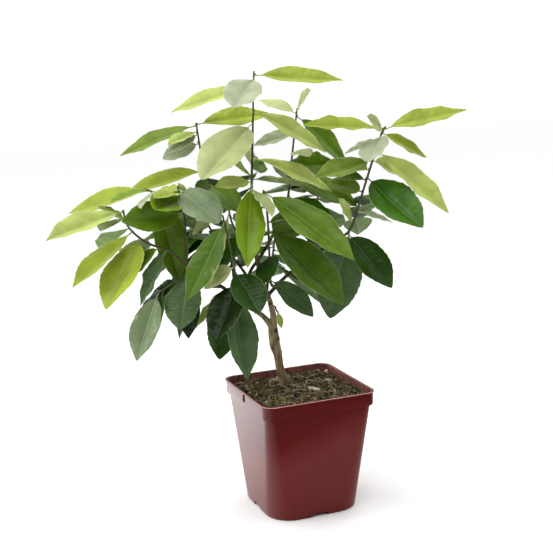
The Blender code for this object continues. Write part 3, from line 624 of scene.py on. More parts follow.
def ramp_node(tree, source, stops):
    """A colour ramp fed by a value."""
    ramp = tree.nodes.new("ShaderNodeValToRGB")
    tree.links.new(source, ramp.inputs["Fac"])
    elements = ramp.color_ramp.elements
    while len(elements) < len(stops):
        elements.new(0.5)
    for element, (place, colour) in zip(elements, stops):
        element.position = place
        element.color = (*colour, 1.0)
    return ramp


def add_bump(tree, shader, source, strength, distance):
    """A bump from a value."""
    bump = tree.nodes.new("ShaderNodeBump")
    bump.inputs["Strength"].default_value = strength
    bump.inputs["Distance"].default_value = distance
    tree.links.new(source, bump.inputs["Height"])
    tree.links.new(bump.outputs["Normal"], shader.inputs["Normal"])


def vary(tree, shader, colour, amount, scale):
    """A base colour that drifts a little lighter and darker."""
    drift = noise_node(tree, scale, 3.0)
    low = [channel * (1 - amount) for channel in colour]
    high = [min(1.0, channel * (1 + amount)) for channel in colour]
    ramp = ramp_node(tree, drift.outputs["Fac"], [(0.35, low), (0.65, high)])
    tree.links.new(ramp.outputs["Color"], shader.inputs["Base Color"])


def leaf_skins(tone):
    """Upper side, midrib, underside and rim of one tone of leaf."""
    upper, under, rough = TONES[tone]
    word = TONE_WORDS[tone]
    top, tree, shader = new_skin(f"leaf_{word}_upper", rough)
    # The upper side drifts in patches to darker and to paler; the paler patches are painted sheen
    patch = noise_node(tree, PATCH_SCALE, 2.0)
    deep = [PATCH_DEEP * channel for channel in upper]
    sheen_colour = [PATCH_GAIN * channel + pale for channel, pale in zip(upper, PATCH_SHEEN)]
    ramp = ramp_node(tree, patch.outputs["Fac"], [(0.34, deep), (0.50, upper), (0.72, sheen_colour)])
    tree.links.new(ramp.outputs["Color"], shader.inputs["Base Color"])
    shader.inputs["Specular IOR Level"].default_value = 0.02
    shader.inputs["Coat Weight"].default_value = 0.32
    shader.inputs["Coat Roughness"].default_value = 0.24
    grain = noise_node(tree, 900.0, 2.0)
    add_bump(tree, shader, grain.outputs["Fac"], 0.25, 0.0002)
    rib_colour = [0.6 * a + 0.4 * b + 0.008 for a, b in zip(upper, under)]
    rib, _, _ = new_skin(f"leaf_{word}_rib", 0.45, rib_colour)
    back, tree, shader = new_skin(f"leaf_{word}_under", 0.55)
    shader.inputs["Specular IOR Level"].default_value = 0.1
    vary(tree, shader, under, 0.10, 120.0)
    rim_colour = [0.75 * a + 0.25 * b for a, b in zip(under, RIM_TINT)]
    rim, _, _ = new_skin(f"leaf_{word}_rim", 0.5, rim_colour)
    return [top, rib, back, rim]


def bark_skin(name, stops):
    """Young bark with fine fissures that run along it and dark scars."""
    skin, tree, shader = new_skin(name, 0.85)
    streak = noise_node(tree, 260.0, 6.0, 0.65, (1.0, 1.0, 0.22))
    ramp = ramp_node(tree, streak.outputs["Fac"], list(zip((0.30, 0.46, 0.62, 0.80), stops)))
    scar = noise_node(tree, 95.0, 3.0, 0.6)
    dark = ramp_node(tree, scar.outputs["Fac"], [(0.58, (1.0,) * 3), (0.70, (0.30,) * 3)])
    mix = tree.nodes.new("ShaderNodeMix")
    mix.data_type = "RGBA"
    mix.blend_type = "MULTIPLY"
    mix.inputs["Factor"].default_value = 1.0
    tree.links.new(ramp.outputs["Color"], mix.inputs["A"])
    tree.links.new(dark.outputs["Color"], mix.inputs["B"])
    tree.links.new(mix.outputs["Result"], shader.inputs["Base Color"])
    shader.inputs["Specular IOR Level"].default_value = 0.2
    add_bump(tree, shader, streak.outputs["Fac"], 0.8, 0.0006)
    return skin


def stem_skin():
    """Smooth dark olive bark of this year's shoots."""
    skin, tree, shader = new_skin("green_stem", 0.5)
    vary(tree, shader, (0.058, 0.062, 0.024), 0.35, 60.0)
    shader.inputs["Specular IOR Level"].default_value = 0.25
    return skin


def range_node(tree, source, low, high, at_low=0.0, at_high=1.0):
    """A value carried from one range to another and held at its ends."""
    node = tree.nodes.new("ShaderNodeMapRange")
    node.inputs["From Min"].default_value = low
    node.inputs["From Max"].default_value = high
    node.inputs["To Min"].default_value = at_low
    node.inputs["To Max"].default_value = at_high
    tree.links.new(source, node.inputs["Value"])
    return node.outputs["Result"]


def math_node(tree, operation, *values):
    """A math node whose inputs are sockets or numbers."""
    node = tree.nodes.new("ShaderNodeMath")
    node.operation = operation
    for index, value in enumerate(values):
        if isinstance(value, (int, float)):
            node.inputs[index].default_value = value
        else:
            tree.links.new(value, node.inputs[index])
    return node.outputs["Value"]


def pot_skin():
    """Dark red moulded plastic: deep and dull under the rim and deeper towards the left, where its colour holds
    painted shade, a little paler towards the foot, one side polished.
    """
    skin, tree, shader = new_skin("dark_red_plastic", 0.42)
    coords = tree.nodes.new("ShaderNodeTexCoord")
    place = tree.nodes.new("ShaderNodeSeparateXYZ")
    tree.links.new(coords.outputs["Object"], place.inputs["Vector"])
    facing = tree.nodes.new("ShaderNodeSeparateXYZ")
    tree.links.new(coords.outputs["Normal"], facing.inputs["Vector"])
    cloud = noise_node(tree, 22.0, 4.0)
    # Painted shade: the base colour darkens towards the rim and towards the left side, and the coat dulls with it
    height = range_node(tree, place.outputs["Z"], 0.050, POT_HEIGHT)
    shade_slope = math_node(tree, "MULTIPLY_ADD", place.outputs["X"], -3.0, height)
    drift = math_node(tree, "MULTIPLY_ADD", cloud.outputs["Fac"], 0.3, shade_slope)
    ramp = ramp_node(tree, drift, [
        (0.47, (0.128, 0.014, 0.013)), (0.80, (0.096, 0.004, 0.004)), (1.00, (0.084, 0.004, 0.004))])
    scratch = noise_node(tree, 330.0, 3.0, 0.6, (1.0, 1.0, 0.12))
    fine = ramp_node(tree, scratch.outputs["Fac"], [(0.70, (0.0,) * 3), (0.76, (0.35,) * 3)])
    mix = tree.nodes.new("ShaderNodeMix")
    mix.data_type = "RGBA"
    mix.inputs["B"].default_value = (0.30, 0.17, 0.16, 1.0)
    tree.links.new(fine.outputs["Color"], mix.inputs["Factor"])
    tree.links.new(ramp.outputs["Color"], mix.inputs["A"])
    tree.links.new(mix.outputs["Result"], shader.inputs["Base Color"])
    dull = range_node(tree, drift, 0.47, 0.80, 0.18, 0.03)
    polished = range_node(tree, facing.outputs["X"], -0.95, -0.30, 0.75, 0.0)
    tree.links.new(math_node(tree, "MAXIMUM", dull, polished), shader.inputs["Coat Weight"])
    shader.inputs["Specular IOR Level"].default_value = 0.05
    shader.inputs["Coat Roughness"].default_value = 0.13
    peel = noise_node(tree, 75.0, 2.0)
    add_bump(tree, shader, peel.outputs["Fac"], 0.12, 0.0006)
    return skin


def inner_skin():
    """The pot's inside above the compost, dusty with dried splashes."""
    skin, tree, shader = new_skin("dusty_inner_wall", 0.7)
    vary(tree, shader, INNER_COLOUR, 0.4, 130.0)
    shader.inputs["Specular IOR Level"].default_value = 0.2
    return skin


def hem_highlight_skin():
    """The pot's upper edge, painted paler as a highlight along the rim."""
    skin, tree, shader = new_skin("painted_hem_highlight", 0.5)
    vary(tree, shader, (0.520, 0.290, 0.260), 0.25, 260.0)
    return skin


def soil_skin(name, dark, light, scale=220.0):
    """Moist compost in two browns."""
    skin, tree, shader = new_skin(name, 0.95)
    crumb = noise_node(tree, scale, 8.0, 0.7)
    ramp = ramp_node(tree, crumb.outputs["Fac"], [(0.35, dark), (0.65, light)])
    tree.links.new(ramp.outputs["Color"], shader.inputs["Base Color"])
    add_bump(tree, shader, crumb.outputs["Fac"], 0.9, 0.0015)
    return skin


# The pot


def rounded_square(side, corner, height):
    """The points of a level square with round corners, counter-clockwise."""
    points = []
    inner = side / 2 - corner
    for quarter in range(4):
        middle = math.radians(45 + 90 * quarter)
        centre_x = math.copysign(inner, math.cos(middle))
        centre_y = math.copysign(inner, math.sin(middle))
        for step in range(CORNER_STEPS + 1):
            angle = math.radians(90 * quarter + 90 * step / CORNER_STEPS)
            points.append(Vector((centre_x + corner * math.cos(angle),
                                  centre_y + corner * math.sin(angle), height)))
    return points


def body_section(height):
    """Side and corner radius of the pot's outside at a height under the band."""
    share = height / POT_HEIGHT
    top_side = POT_SIDE - 2 * (HEM_WIDTH + BAND_STEP)
    side = FOOT_SIDE + (top_side - FOOT_SIDE) * share
    corner = FOOT_CORNER + (RIM_CORNER - FOOT_CORNER) * share
    return side, corner


def pot_rings():
    """Rings of the pot from the outer edge of the underside, over the rim, to the edge of the inner floor."""
    band_foot = POT_HEIGHT - BAND_HEIGHT
    hem_foot = POT_HEIGHT - HEM_HEIGHT
    band_side = POT_SIDE - 2 * HEM_WIDTH
    inner_band = band_side - 2 * WALL
    top = band_foot - BAND_STEP
    rings = []
    for step in range(4):
        turn = math.pi / 2 * step / 3
        inset = FOOT_ROUNDING * (1 - math.sin(turn))
        height = FOOT_ROUNDING * (1 - math.cos(turn))
        side, corner = body_section(height)
        rings.append(rounded_square(side - 2 * inset, corner - inset, height))
    for step in range(1, BODY_STEPS + 1):
        side, corner = body_section(FOOT_ROUNDING + (top - FOOT_ROUNDING) * step / BODY_STEPS)
        rings.append(rounded_square(side, corner, FOOT_ROUNDING + (top - FOOT_ROUNDING) * step / BODY_STEPS))
    band_corner = corner + BAND_STEP / 2
    for share in (0.3, 0.7, 0.9, 1.0):
        grown = band_side - BAND_STEP / 2 - (band_side - BAND_STEP / 2 - side) * (1 - share ** 0.6)
        rings.append(rounded_square(grown, band_corner, top + BAND_STEP * share))
    rings.append(rounded_square(band_side, band_corner, band_foot + BAND_STEP / 2))
    rings.append(rounded_square(band_side, band_corner, hem_foot))
    for step in range(9):
        turn = math.pi * (step / 8 - 0.5)
        out = HEM_WIDTH * math.cos(turn)
        height = hem_foot + HEM_HEIGHT / 2 * (1 + math.sin(turn))
        rings.append(rounded_square(band_side + 2 * out, band_corner + out, height))
    rings.append(rounded_square(inner_band + 0.4 * WALL, band_corner - WALL / 2, POT_HEIGHT))
    rings.append(rounded_square(inner_band, band_corner - WALL / 2, POT_HEIGHT - WALL / 3))
    rings.append(rounded_square(inner_band - BAND_STEP / 2, band_corner - WALL / 2, band_foot))
    for height in (top, band_foot * 2 / 3, band_foot / 3, FLOOR):
        side, corner = body_section(height)
        rings.append(rounded_square(side - 2 * WALL, corner - WALL, height))
    return rings


def loft_mesh(name, rings):
    """Skin a row of rings that have the same number of points, and close both ends."""
    bm = bmesh.new()
    rows = [[bm.verts.new(point) for point in ring] for ring in rings]
    for lower, upper in zip(rows, rows[1:]):
        for index in range(len(lower)):
            after = (index + 1) % len(lower)
            bm.faces.new((lower[index], lower[after], upper[after], upper[index]))
    bm.faces.new(reversed(rows[0]))
    bm.faces.new(rows[-1])
    bmesh.ops.recalc_face_normals(bm, faces=bm.faces)
    mesh = bpy.data.meshes.new(name)
    bm.to_mesh(mesh)
    bm.free()
    return mesh


def box_object(name, size, place, rounding=0.0):
    """A box, with its edges rounded if asked."""
    bm = bmesh.new()
    bmesh.ops.create_cube(bm, size=1.0)
    for corner in bm.verts:
        corner.co = Vector(place) + Vector(corner.co[axis] * size[axis] for axis in range(3))
    if rounding:
        bmesh.ops.bevel(bm, geom=list(bm.edges), offset=rounding, segments=3, affect="EDGES", profile=0.5)
    mesh = bpy.data.meshes.new(name)
    bm.to_mesh(mesh)
    bm.free()
    return mesh_object(name, mesh, [])


def cut(thing, others, operation):
    """Join or cut an object with some others, which are then removed."""
    for other in others:
        modifier = thing.modifiers.new("join", "BOOLEAN")
        modifier.operation = operation
        modifier.solver = "EXACT"
        modifier.object = other
    depsgraph = bpy.context.evaluated_depsgraph_get()
    mesh = bpy.data.meshes.new_from_object(thing.evaluated_get(depsgraph))
    thing.modifiers.clear()
    thing.data = mesh
    for other in others:
        bpy.data.objects.remove(other, do_unlink=True)


def make_pot():
    """The tub with its band, rounded hem, notches, slot and blank panel."""
    pot = mesh_object("pot_shell", loft_mesh("pot_shell", pot_rings()), [])
    band_face = POT_SIDE / 2 - HEM_WIDTH
    panel_x = POT_SIDE / 2 - RIM_CORNER - PANEL_WIDTH / 2
    panel_z = POT_HEIGHT - BAND_HEIGHT + BAND_STEP + PANEL_HEIGHT / 2
    panel = box_object("panel", (PANEL_WIDTH, 2 * PANEL_PROUD, PANEL_HEIGHT), (panel_x, -band_face, panel_z),
                       0.0003)
    cut(pot, [panel], "UNION")
    reach = FOOT_SIDE / 2
    height = POT_HEIGHT - HEM_HEIGHT - SLOT_DROP - SLOT_HEIGHT / 2
    deep = 4 * WALL
    wall = POT_SIDE / 2 - WALL
    cutters = [box_object("slot", (deep, SLOT_WIDTH, SLOT_HEIGHT), (-wall, 0, height), 0.0008)]
    for side in (-1, 1):
        cutters.append(box_object("notch_x", (NOTCH_DEPTH, NOTCH_WIDTH, 2 * NOTCH_HEIGHT),
                                  (side * reach, 0, 0), 0.0012))
        cutters.append(box_object("notch_y", (NOTCH_WIDTH, NOTCH_DEPTH, 2 * NOTCH_HEIGHT),
                                  (0, side * reach, 0), 0.0012))
    cut(pot, cutters, "DIFFERENCE")
    pot.data.materials.clear()
    pot.data.materials.append(pot_skin())
    pot.data.materials.append(hem_highlight_skin())
    pot.data.materials.append(inner_skin())
    for face in pot.data.polygons:
        inward = face.normal.x * face.center.x + face.normal.y * face.center.y < 0
        # The top of the hem takes the paler skin: a painted highlight along the rim
        if face.center.z > POT_HEIGHT - HEM_HIGHLIGHT and face.normal.z < LEVEL:
            face.material_index = 1
        elif inward and face.center.z > FLOOR:
            face.material_index = 2
    pot.data.shade_smooth()
    pot.data.set_sharp_from_angle(angle=math.radians(32))
    declare(pot, "pot", "pot")


# The compost


def soil_height(x, y):
    """Height of the compost's surface, with lumps of several sizes."""
    back = -x * math.sin(PLANT_TURN) + y * math.cos(PLANT_TURN)
    level = SOIL_TOP - SOIL_SLOPE * (back - 0.025)
    coarse = noise.noise(Vector((x, y, 0.1)) * 70)
    medium = noise.noise(Vector((x, y, 0.7)) * 190)
    fine = noise.noise(Vector((x, y, 1.3)) * 520)
    return level + 0.0030 * coarse + 0.0022 * medium + 0.0010 * fine


def make_soil():
    """The compost that fills the pot, with a rough crumbly top."""
    side, corner = body_section(POT_HEIGHT - BAND_HEIGHT - BAND_STEP)
    spare = 2 * (WALL + CLEARANCE)
    side -= spare
    corner -= spare / 2
    rings = []
    for height in (FLOOR + CLEARANCE, POT_HEIGHT / 2, POT_HEIGHT - BAND_HEIGHT - BAND_STEP):
        ring_side, ring_corner = body_section(height)
        rings.append(rounded_square(ring_side - spare, ring_corner - spare / 2, height))
    outer = rounded_square(side, corner, 0)
    for ring in range(SOIL_GRID):
        share = 1 - ring / SOIL_GRID
        points = []
        for point in outer:
            x, y = point.x * share, point.y * share
            points.append(Vector((x, y, soil_height(x, y))))
        rings.append(points)
    soil = mesh_object("compost", loft_mesh("compost", rings),
                       [soil_skin("compost", (0.005, 0.004, 0.002), (0.080, 0.062, 0.028))])
    soil.data.shade_smooth()
    declare(soil, "soil", "soil")
    return side / 2


def lump_shape(centre, size, squash, seed, heap, slot, heading=None):
    """A rough lump: a small ball pushed about by noise."""
    bm = bmesh.new()
    bmesh.ops.create_icosphere(bm, subdivisions=2, radius=1.0)
    turn = Matrix.Rotation(seed * 1.7, 3, "Z") @ Matrix.Rotation(seed * 0.9, 3, "X")
    if heading is not None:
        turn = Matrix.Rotation(math.radians(heading), 3, "Z")
    points = []
    for corner in bm.verts:
        push = 1 + 0.45 * noise.noise(corner.co * 1.4 + Vector((seed, seed * 0.37, 0)))
        shaped = Vector((corner.co.x * squash[0], corner.co.y * squash[1], corner.co.z * squash[2])) * push
        points.append(tuple(centre + turn @ (shaped * size)))
    faces = [tuple(corner.index for corner in face.verts) for face in bm.faces]
    bm.free()
    heap_add_mixed(heap, points, faces, slot)


def fibre_path(start, length, edge, draw, heading=None, lift=0.0008):
    """A bent fibre that lies on the compost and rises a little in its middle."""
    heading = draw.uniform(0, 2 * math.pi) if heading is None else math.radians(heading)
    arch = draw.uniform(0.0004, 0.0030)
    path = []
    for step in range(6):
        share = step / 5
        heading += draw.uniform(-0.35, 0.35)
        place = start + Vector((math.cos(heading), math.sin(heading), 0)) * length * share
        place.x = max(-edge, min(edge, place.x))
        place.y = max(-edge, min(edge, place.y))
        place.z = soil_height(place.x, place.y) + lift + arch * math.sin(math.pi * share)
        path.append(place)
    return path


def make_crumbs(reach):
    """Clods, moss, fibres, straws, bark chips and pale grit that lie on the compost."""
    draw = random.Random(f"{SEED} crumbs")
    heaps = {name: Heap() for name in ("clods", "chips", "grits", "fibres", "straws", "roots", "moss")}
    edge = reach - 0.003

    def spot(lift, middle=(0, 0), spread_over=None):
        over = spread_over or edge
        x = max(-edge, min(edge, middle[0] + draw.uniform(-over, over)))
        y = max(-edge, min(edge, middle[1] + draw.uniform(-over, over)))
        return Vector((x, y, soil_height(x, y) + lift))

    for index in range(CLODS):
        size = draw.uniform(0.0006, 0.0018) if index % 5 else draw.uniform(0.0018, 0.0036)
        squash = (1, draw.uniform(0.6, 1), draw.uniform(0.5, 0.9))
        centre = spot(size * 0.3)
        # Clods in the dark patches take the darkest skin as painted shade
        shaded = noise.noise(centre * CLOUDS) < CLOUD_EDGE and index % 4
        lump_shape(centre, size, squash, index, heaps["clods"], 0 if shaded else index % 3)
    for index in range(MOSS):
        size = draw.uniform(0.0008, 0.0022)
        middle = MOSS_SPOTS[index % len(MOSS_SPOTS)]
        lump_shape(spot(size * 0.4, middle, 0.016), size, (1, 0.8, 0.7), index * 0.7, heaps["moss"], 0)
    for index in range(CHIPS):
        size = draw.uniform(0.0020, 0.0050)
        squash = (1.0, draw.uniform(0.35, 0.6), 0.28)
        lump_shape(spot(size * 0.25), size, squash, index * 1.3, heaps["chips"], 0)
    for index in range(GRITS):
        lump_shape(spot(0.0008), draw.uniform(0.0008, 0.0016), (1, 1, 0.85), index * 2.1, heaps["grits"], 0)
    for index, (x, y, size, heading, squash) in enumerate(PALE_BITS):
        centre = Vector((x, y, soil_height(x, y) + size * squash[2] * 0.7))
        lump_shape(centre, size, squash, index + 1, heaps["grits"], index % 2, heading)
    for name, count, thin, longest in (("fibres", FIBRES, 0.16, 0.022), ("straws", STRAWS, 0.19, 0.018)):
        for index in range(count):
            path = fibre_path(spot(0), draw.uniform(0.004, longest), edge, draw)
            tube_shape(path, [thin * draw.uniform(0.8, 2.6)] * 6, 5, heaps[name])
    for index in range(TUFT_STRANDS):
        path = fibre_path(spot(0, TUFT, 0.006), draw.uniform(0.004, 0.010), edge, draw, lift=0.0028)
        tube_shape(path, [draw.uniform(0.30, 0.50)] * 6, 5, heaps["roots"])
    for x, y, heading, length in ROOTS:
        path = fibre_path(Vector((x, y, 0)), length, edge, draw, heading, 0.0020)
        tube_shape(path, [draw.uniform(0.25, 0.42)] * 6, 5, heaps["roots"])
    skins = {
        "clods": [soil_skin("clod_dark", (0.004, 0.003, 0.002), (0.022, 0.016, 0.008), 400),
                  soil_skin("clod_olive", (0.022, 0.019, 0.007), (0.140, 0.118, 0.046), 400),
                  soil_skin("clod_brown", (0.020, 0.012, 0.006), (0.170, 0.105, 0.050), 400)],
        "chips": [soil_skin("chip_bark", (0.080, 0.045, 0.022), (0.300, 0.210, 0.120), 500)],
        "grits": [soil_skin("pale_chip", (0.620, 0.580, 0.490), (0.920, 0.890, 0.800), 300),
                  soil_skin("pale_stone", (0.200, 0.180, 0.140), (0.620, 0.580, 0.500), 420)],
        "fibres": [soil_skin("brown_fibre", (0.080, 0.052, 0.024), (0.320, 0.225, 0.110), 300)],
        "straws": [soil_skin("straw", (0.260, 0.195, 0.085), (0.620, 0.510, 0.270), 300)],
        "roots": [soil_skin("pale_root", (0.420, 0.370, 0.220), (0.820, 0.760, 0.540), 300)],
        "moss": [soil_skin("moss", (0.026, 0.036, 0.005), (0.200, 0.220, 0.040), 500)],
    }
    for name, heap in heaps.items():
        declare(heap.to_object(f"compost_{name}", skins[name]), "soil")


# Trunk and boughs


KNOT_PLACES = [plant_point(knot) for knot in KNOTS]


def limb_paths():
    """Paths and radii of the trunk's arms and of the boughs, as in the model."""
    limbs = {}
    for name, (points, radii) in TRUNK_ARMS.items():
        limbs[name] = (smooth_path([plant_point(point) for point in points]), radii)
    for name, (parent, points, radii) in BOUGHS.items():
        if parent in TRUNK_ARMS:
            limbs[name] = (grow_on(limbs[parent][0], points), radii)
        else:
            limbs[name] = (smooth_path([plant_point(point) for point in points]), radii)
    return limbs


def bark_relief(place):
    """How far the bark stands out: ridges along the limbs, a fine grain, soft lumps and the trunk's knots."""
    ridge = noise.noise(Vector((place.x * 620, place.y * 620, place.z * 130)))
    grain = noise.noise(place * 900)
    lumps = noise.noise(place * 120 + Vector((5, 1, 3)))
    swelling = sum(KNOT_HEIGHT * math.exp(-((place - knot).length / KNOT_SIZE) ** 2) for knot in KNOT_PLACES)
    return 0.00028 * ridge + 0.00010 * grain + 0.00045 * max(0.0, lumps - 0.25) + swelling


def make_wood(limbs):
    """Trunk and boughs as one skin: tubes melted together, with bark relief pushed out of them."""
    heap = Heap()
    trunk = smooth_path([plant_point(point) for point in TRUNK], 8)
    tube_shape(trunk, spread(TRUNK_RADII, len(trunk)), 20, heap)
    for path, radii in limbs.values():
        fine = smooth_path(path, 2)
        tube_shape(fine, spread(radii, len(fine)), 12, heap)
    right, back, up = TRUNK[1]
    for heading, reach in ROOT_FLARES:
        out_right = reach * math.cos(math.radians(heading))
        out_back = reach * math.sin(math.radians(heading))
        flare = [(right, back, up + 12), (right + out_right * 0.4, back + out_back * 0.4, up + 2),
                 (right + out_right, back + out_back, up - 6)]
        path = smooth_path([plant_point(point) for point in flare])
        tube_shape(path, spread(FLARE_RADII, len(path)), 10, heap)
    raw = heap.to_object("wood", [])
    remesh = raw.modifiers.new("melt", "REMESH")
    remesh.mode = "VOXEL"
    remesh.voxel_size = 0.0006
    soften = raw.modifiers.new("soften", "SMOOTH")
    soften.factor = 0.5
    soften.iterations = 4
    depsgraph = bpy.context.evaluated_depsgraph_get()
    mesh = bpy.data.meshes.new_from_object(raw.evaluated_get(depsgraph))
    bpy.data.objects.remove(raw, do_unlink=True)
    count = len(mesh.vertices)
    places = np.empty(count * 3)
    normals = np.empty(count * 3)
    mesh.vertices.foreach_get("co", places)
    mesh.vertex_normals.foreach_get("vector", normals)
    places = places.reshape(-1, 3)
    normals = normals.reshape(-1, 3)
    push = np.array([bark_relief(Vector(place)) for place in places])
    places += normals * push[:, None]
    places[:, 2] = np.maximum(places[:, 2], (TRUNK_FOOT - 4) * MM)
    mesh.vertices.foreach_set("co", places.reshape(-1))
    skins = [bark_skin("trunk_bark", TRUNK_BARK), bark_skin("bough_bark", BOUGH_BARK),
             bark_skin("dark_knot", KNOT_BARK), bark_skin("pale_scar", SCAR_BARK)]
    wood = mesh_object("bark_wood", mesh, skins)
    for face in mesh.polygons:
        place = face.center
        face.material_index = int(place.z + BARK_BLEND * noise.noise(place * 90) > FORK_HEIGHT)
        reach = KNOT_SIZE * (0.9 + noise.noise(place * 500))
        for knot, skin in zip(KNOT_PLACES, KNOT_SKINS):
            if skin and (place - knot).length < reach:
                face.material_index = skin
    mesh.shade_smooth()
    declare(wood, "bark", "trunk", *BOUGHS)


# The model's rule for the leaves


def row_place(row):
    """Where a row of a leaf's points lies, as a share of its length: root, stalk, then blade."""
    if row == 0:
        return -ROOT_BEHIND
    if row <= 2:
        return STALK_SHARE * (row - 1)
    return STALK_SHARE + (1 - STALK_SHARE) * (row - 2) / (LEAF_ROWS - 2)


def fullness(leaf):
    """How soon the blade narrows towards its ends: broad leaves are rounder than slender ones."""
    broad = leaf["width"] / leaf["length"] - SLENDER
    return FULL_SLENDER - min(FULL_RANGE, max(0.0, FULL_GAIN * broad))


def blade_width(place, power):
    """Half the blade's width at a place, as a share of its greatest half width."""
    if place <= STALK_SHARE or place >= 1:
        return 0.0
    along = (place - STALK_SHARE) / (1 - STALK_SHARE)
    return math.sin(math.pi * along ** BLADE_SKEW) ** power


def leaf_bmesh(leaf, swell=0.0):
    """The model's leaf: a ball with few sides whose points are moved to the leaf's arc, outline and fold."""
    bm = bmesh.new()
    bmesh.ops.create_uvsphere(bm, u_segments=LEAF_SIDES, v_segments=LEAF_ROWS, radius=1.0)
    heading = math.radians(leaf["heading"]) + PLANT_TURN
    roll = math.radians(leaf["roll"])
    droop = math.radians(leaf["droop"])
    start = math.radians(leaf["rise"]) + droop / 2
    length = leaf["length"] * MM
    ahead = Vector((math.cos(heading), math.sin(heading), 0))
    left = Vector((-math.sin(heading), math.cos(heading), 0))
    sky = Vector((0, 0, 1))
    for corner in bm.verts:
        row = round(math.acos(max(-1.0, min(1.0, corner.co.z))) / math.pi * LEAF_ROWS)
        across = math.atan2(corner.co.y, corner.co.x)
        place = row_place(row)
        slope = start - droop * place
        middle = leaf["root"] + length / droop * (
            ahead * (math.sin(start) - math.sin(slope)) + sky * (math.cos(slope) - math.cos(start)))
        middle += left * (4 * leaf["bow"] * length * place * (1 - place))
        normal = sky * math.cos(slope) - ahead * math.sin(slope)
        side = left * math.cos(roll) + normal * math.sin(roll)
        normal = normal * math.cos(roll) - left * math.sin(roll)
        if row in (0, LEAF_ROWS):
            corner.co = middle
            continue
        half = blade_width(place, fullness(leaf)) * leaf["width"] * MM / 2
        thick = LEAF_THICK * length / 2
        if place <= STALK_SHARE:
            half = STALK_RADIUS * MM
            thick = STALK_RADIUS * MM
        half += swell * MM
        thick += swell * MM
        out = math.cos(across) * half
        corner.co = middle + side * out + normal * (abs(out) * math.tan(LEAF_FOLD) + math.sin(across) * thick)
    return bm


def touches(leaf, boughs, grown):
    """True where the leaf comes too near a bough, or its blade too near a stem or another leaf."""
    bm = leaf_bmesh(leaf, swell=TEST_SWELL)
    whole = BVHTree.FromBMesh(bm)
    if any(whole.overlap(bough) for bough in boughs):
        bm.free()
        return True
    reach = leaf["length"] * MM * ROOT_SHARE
    near = [corner for corner in bm.verts if (corner.co - leaf["root"]).length < reach]
    bmesh.ops.delete(bm, geom=near, context="VERTS")
    tree = BVHTree.FromBMesh(bm)
    bm.free()
    return any(tree.overlap(other) for other in grown)


def leaf_tree(leaf):
    """A search tree of the leaf as the model has it."""
    bm = leaf_bmesh(leaf)
    tree = BVHTree.FromBMesh(bm)
    bm.free()
    return tree


def outside_crown(leaf):
    """True where a leaf's tip leaves the crown's space."""
    droop = math.radians(leaf["droop"])
    reach = leaf["length"] * math.sin(droop / 2) / (droop / 2)
    heading = math.radians(leaf["heading"]) + PLANT_TURN
    rise = math.radians(leaf["rise"])
    tip = leaf["root"] + reach * MM * Vector((math.cos(heading) * math.cos(rise),
                                              math.sin(heading) * math.cos(rise), math.sin(rise)))
    off = tip - plant_point(CROWN_MIDDLE)
    turned = plant_point((CROWN_REACH[0], 0, 0)).normalized()
    across = off.dot(turned)
    along = off.dot(Vector((-turned.y, turned.x, 0)))
    shares = (across / CROWN_REACH[0], along / CROWN_REACH[1], off.z / CROWN_REACH[2])
    return math.hypot(*shares) > MM


def settle_leaf(leaf, boughs, grown, draw, kept_inside):
    """Turn a leaf a little at a time until it is clear of all else, or give it up."""
    heading, rise = leaf["heading"], leaf["rise"]
    for attempt in range(TRIES):
        leaf["heading"] = heading + draw.uniform(-TURN_STEP, TURN_STEP) * attempt
        leaf["rise"] = rise + draw.uniform(-RISE_STEP, RISE_STEP) * attempt
        if kept_inside and outside_crown(leaf):
            continue
        if not touches(leaf, boughs, grown):
            grown.append(leaf_tree(leaf))
            return True
    return False


def new_leaf(path, place, heading, rise, roll, length, width, tone, draw):
    """The measures of one leaf."""
    return dict(root=path_point(path, place), heading=heading, rise=rise, roll=roll, length=length, width=width,
                droop=draw.uniform(*LEAF_DROOP), bow=draw.uniform(-LEAF_BOW, LEAF_BOW), tone=tone, place=place,
                path=path)


def shown_leaves(name, key, path, rows, boughs, grown):
    """The leaves that the plant's front shows, on one stem or twig."""
    kept = []
    for index, (place, heading, rise, roll, length, width, tone) in enumerate(rows):
        draw = random.Random(f"{SEED} {name} {key} {index}")
        leaf = new_leaf(path, place, heading, rise, roll, length, width, tone, draw)
        if settle_leaf(leaf, boughs, grown, draw, False):
            kept.append(leaf)
    return kept


def spare_leaves(name, path, boughs, grown):
    """Leaves by the seeded rule: each a golden turn round from the last, larger towards the stem's foot."""
    kept = []
    count, lowest, highest = SHOOTS[name]["spare"]
    first, last = SHOOTS[name]["turned"]
    for index in range(count):
        draw = random.Random(f"{SEED} {name} spare {index}")
        place = lowest + (highest - lowest) * (index + draw.uniform(0.2, 0.8)) / count
        heading = first + (index * GOLDEN_TURN + draw.uniform(-SPARE_SCATTER, SPARE_SCATTER)) % (last - first)
        length = SPARE_LENGTH[1] + (SPARE_LENGTH[0] - SPARE_LENGTH[1]) * place
        width = length * draw.uniform(*SPARE_SLENDER)
        rise = SPARE_RISE[0] + (SPARE_RISE[1] - SPARE_RISE[0]) * place + draw.uniform(-SPARE_SCATTER, SPARE_SCATTER)
        roll = draw.uniform(-SPARE_ROLL, SPARE_ROLL)
        tone = next(word for limit, word in SPARE_TONES if place < limit)
        leaf = new_leaf(path, place, heading, rise, roll, length, width, tone, draw)
        if settle_leaf(leaf, boughs, grown, draw, True):
            kept.append(leaf)
    return kept


def node_tree_of(name):
    """A search tree of a solid of the model."""
    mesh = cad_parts[name].data
    return BVHTree.FromPolygons([corner.co for corner in mesh.vertices], [face.vertices[:] for face in mesh.polygons])


def tube_tree(path, radii, sides):
    """A search tree of a stem or twig as the model has it."""
    heap = Heap()
    tube_shape(path, spread(radii, len(path)), sides, heap)
    points = np.concatenate(heap.points).tolist()
    faces = [tuple(face) for group in heap.faces for face in group.tolist()]
    return BVHTree.FromPolygons(points, faces)


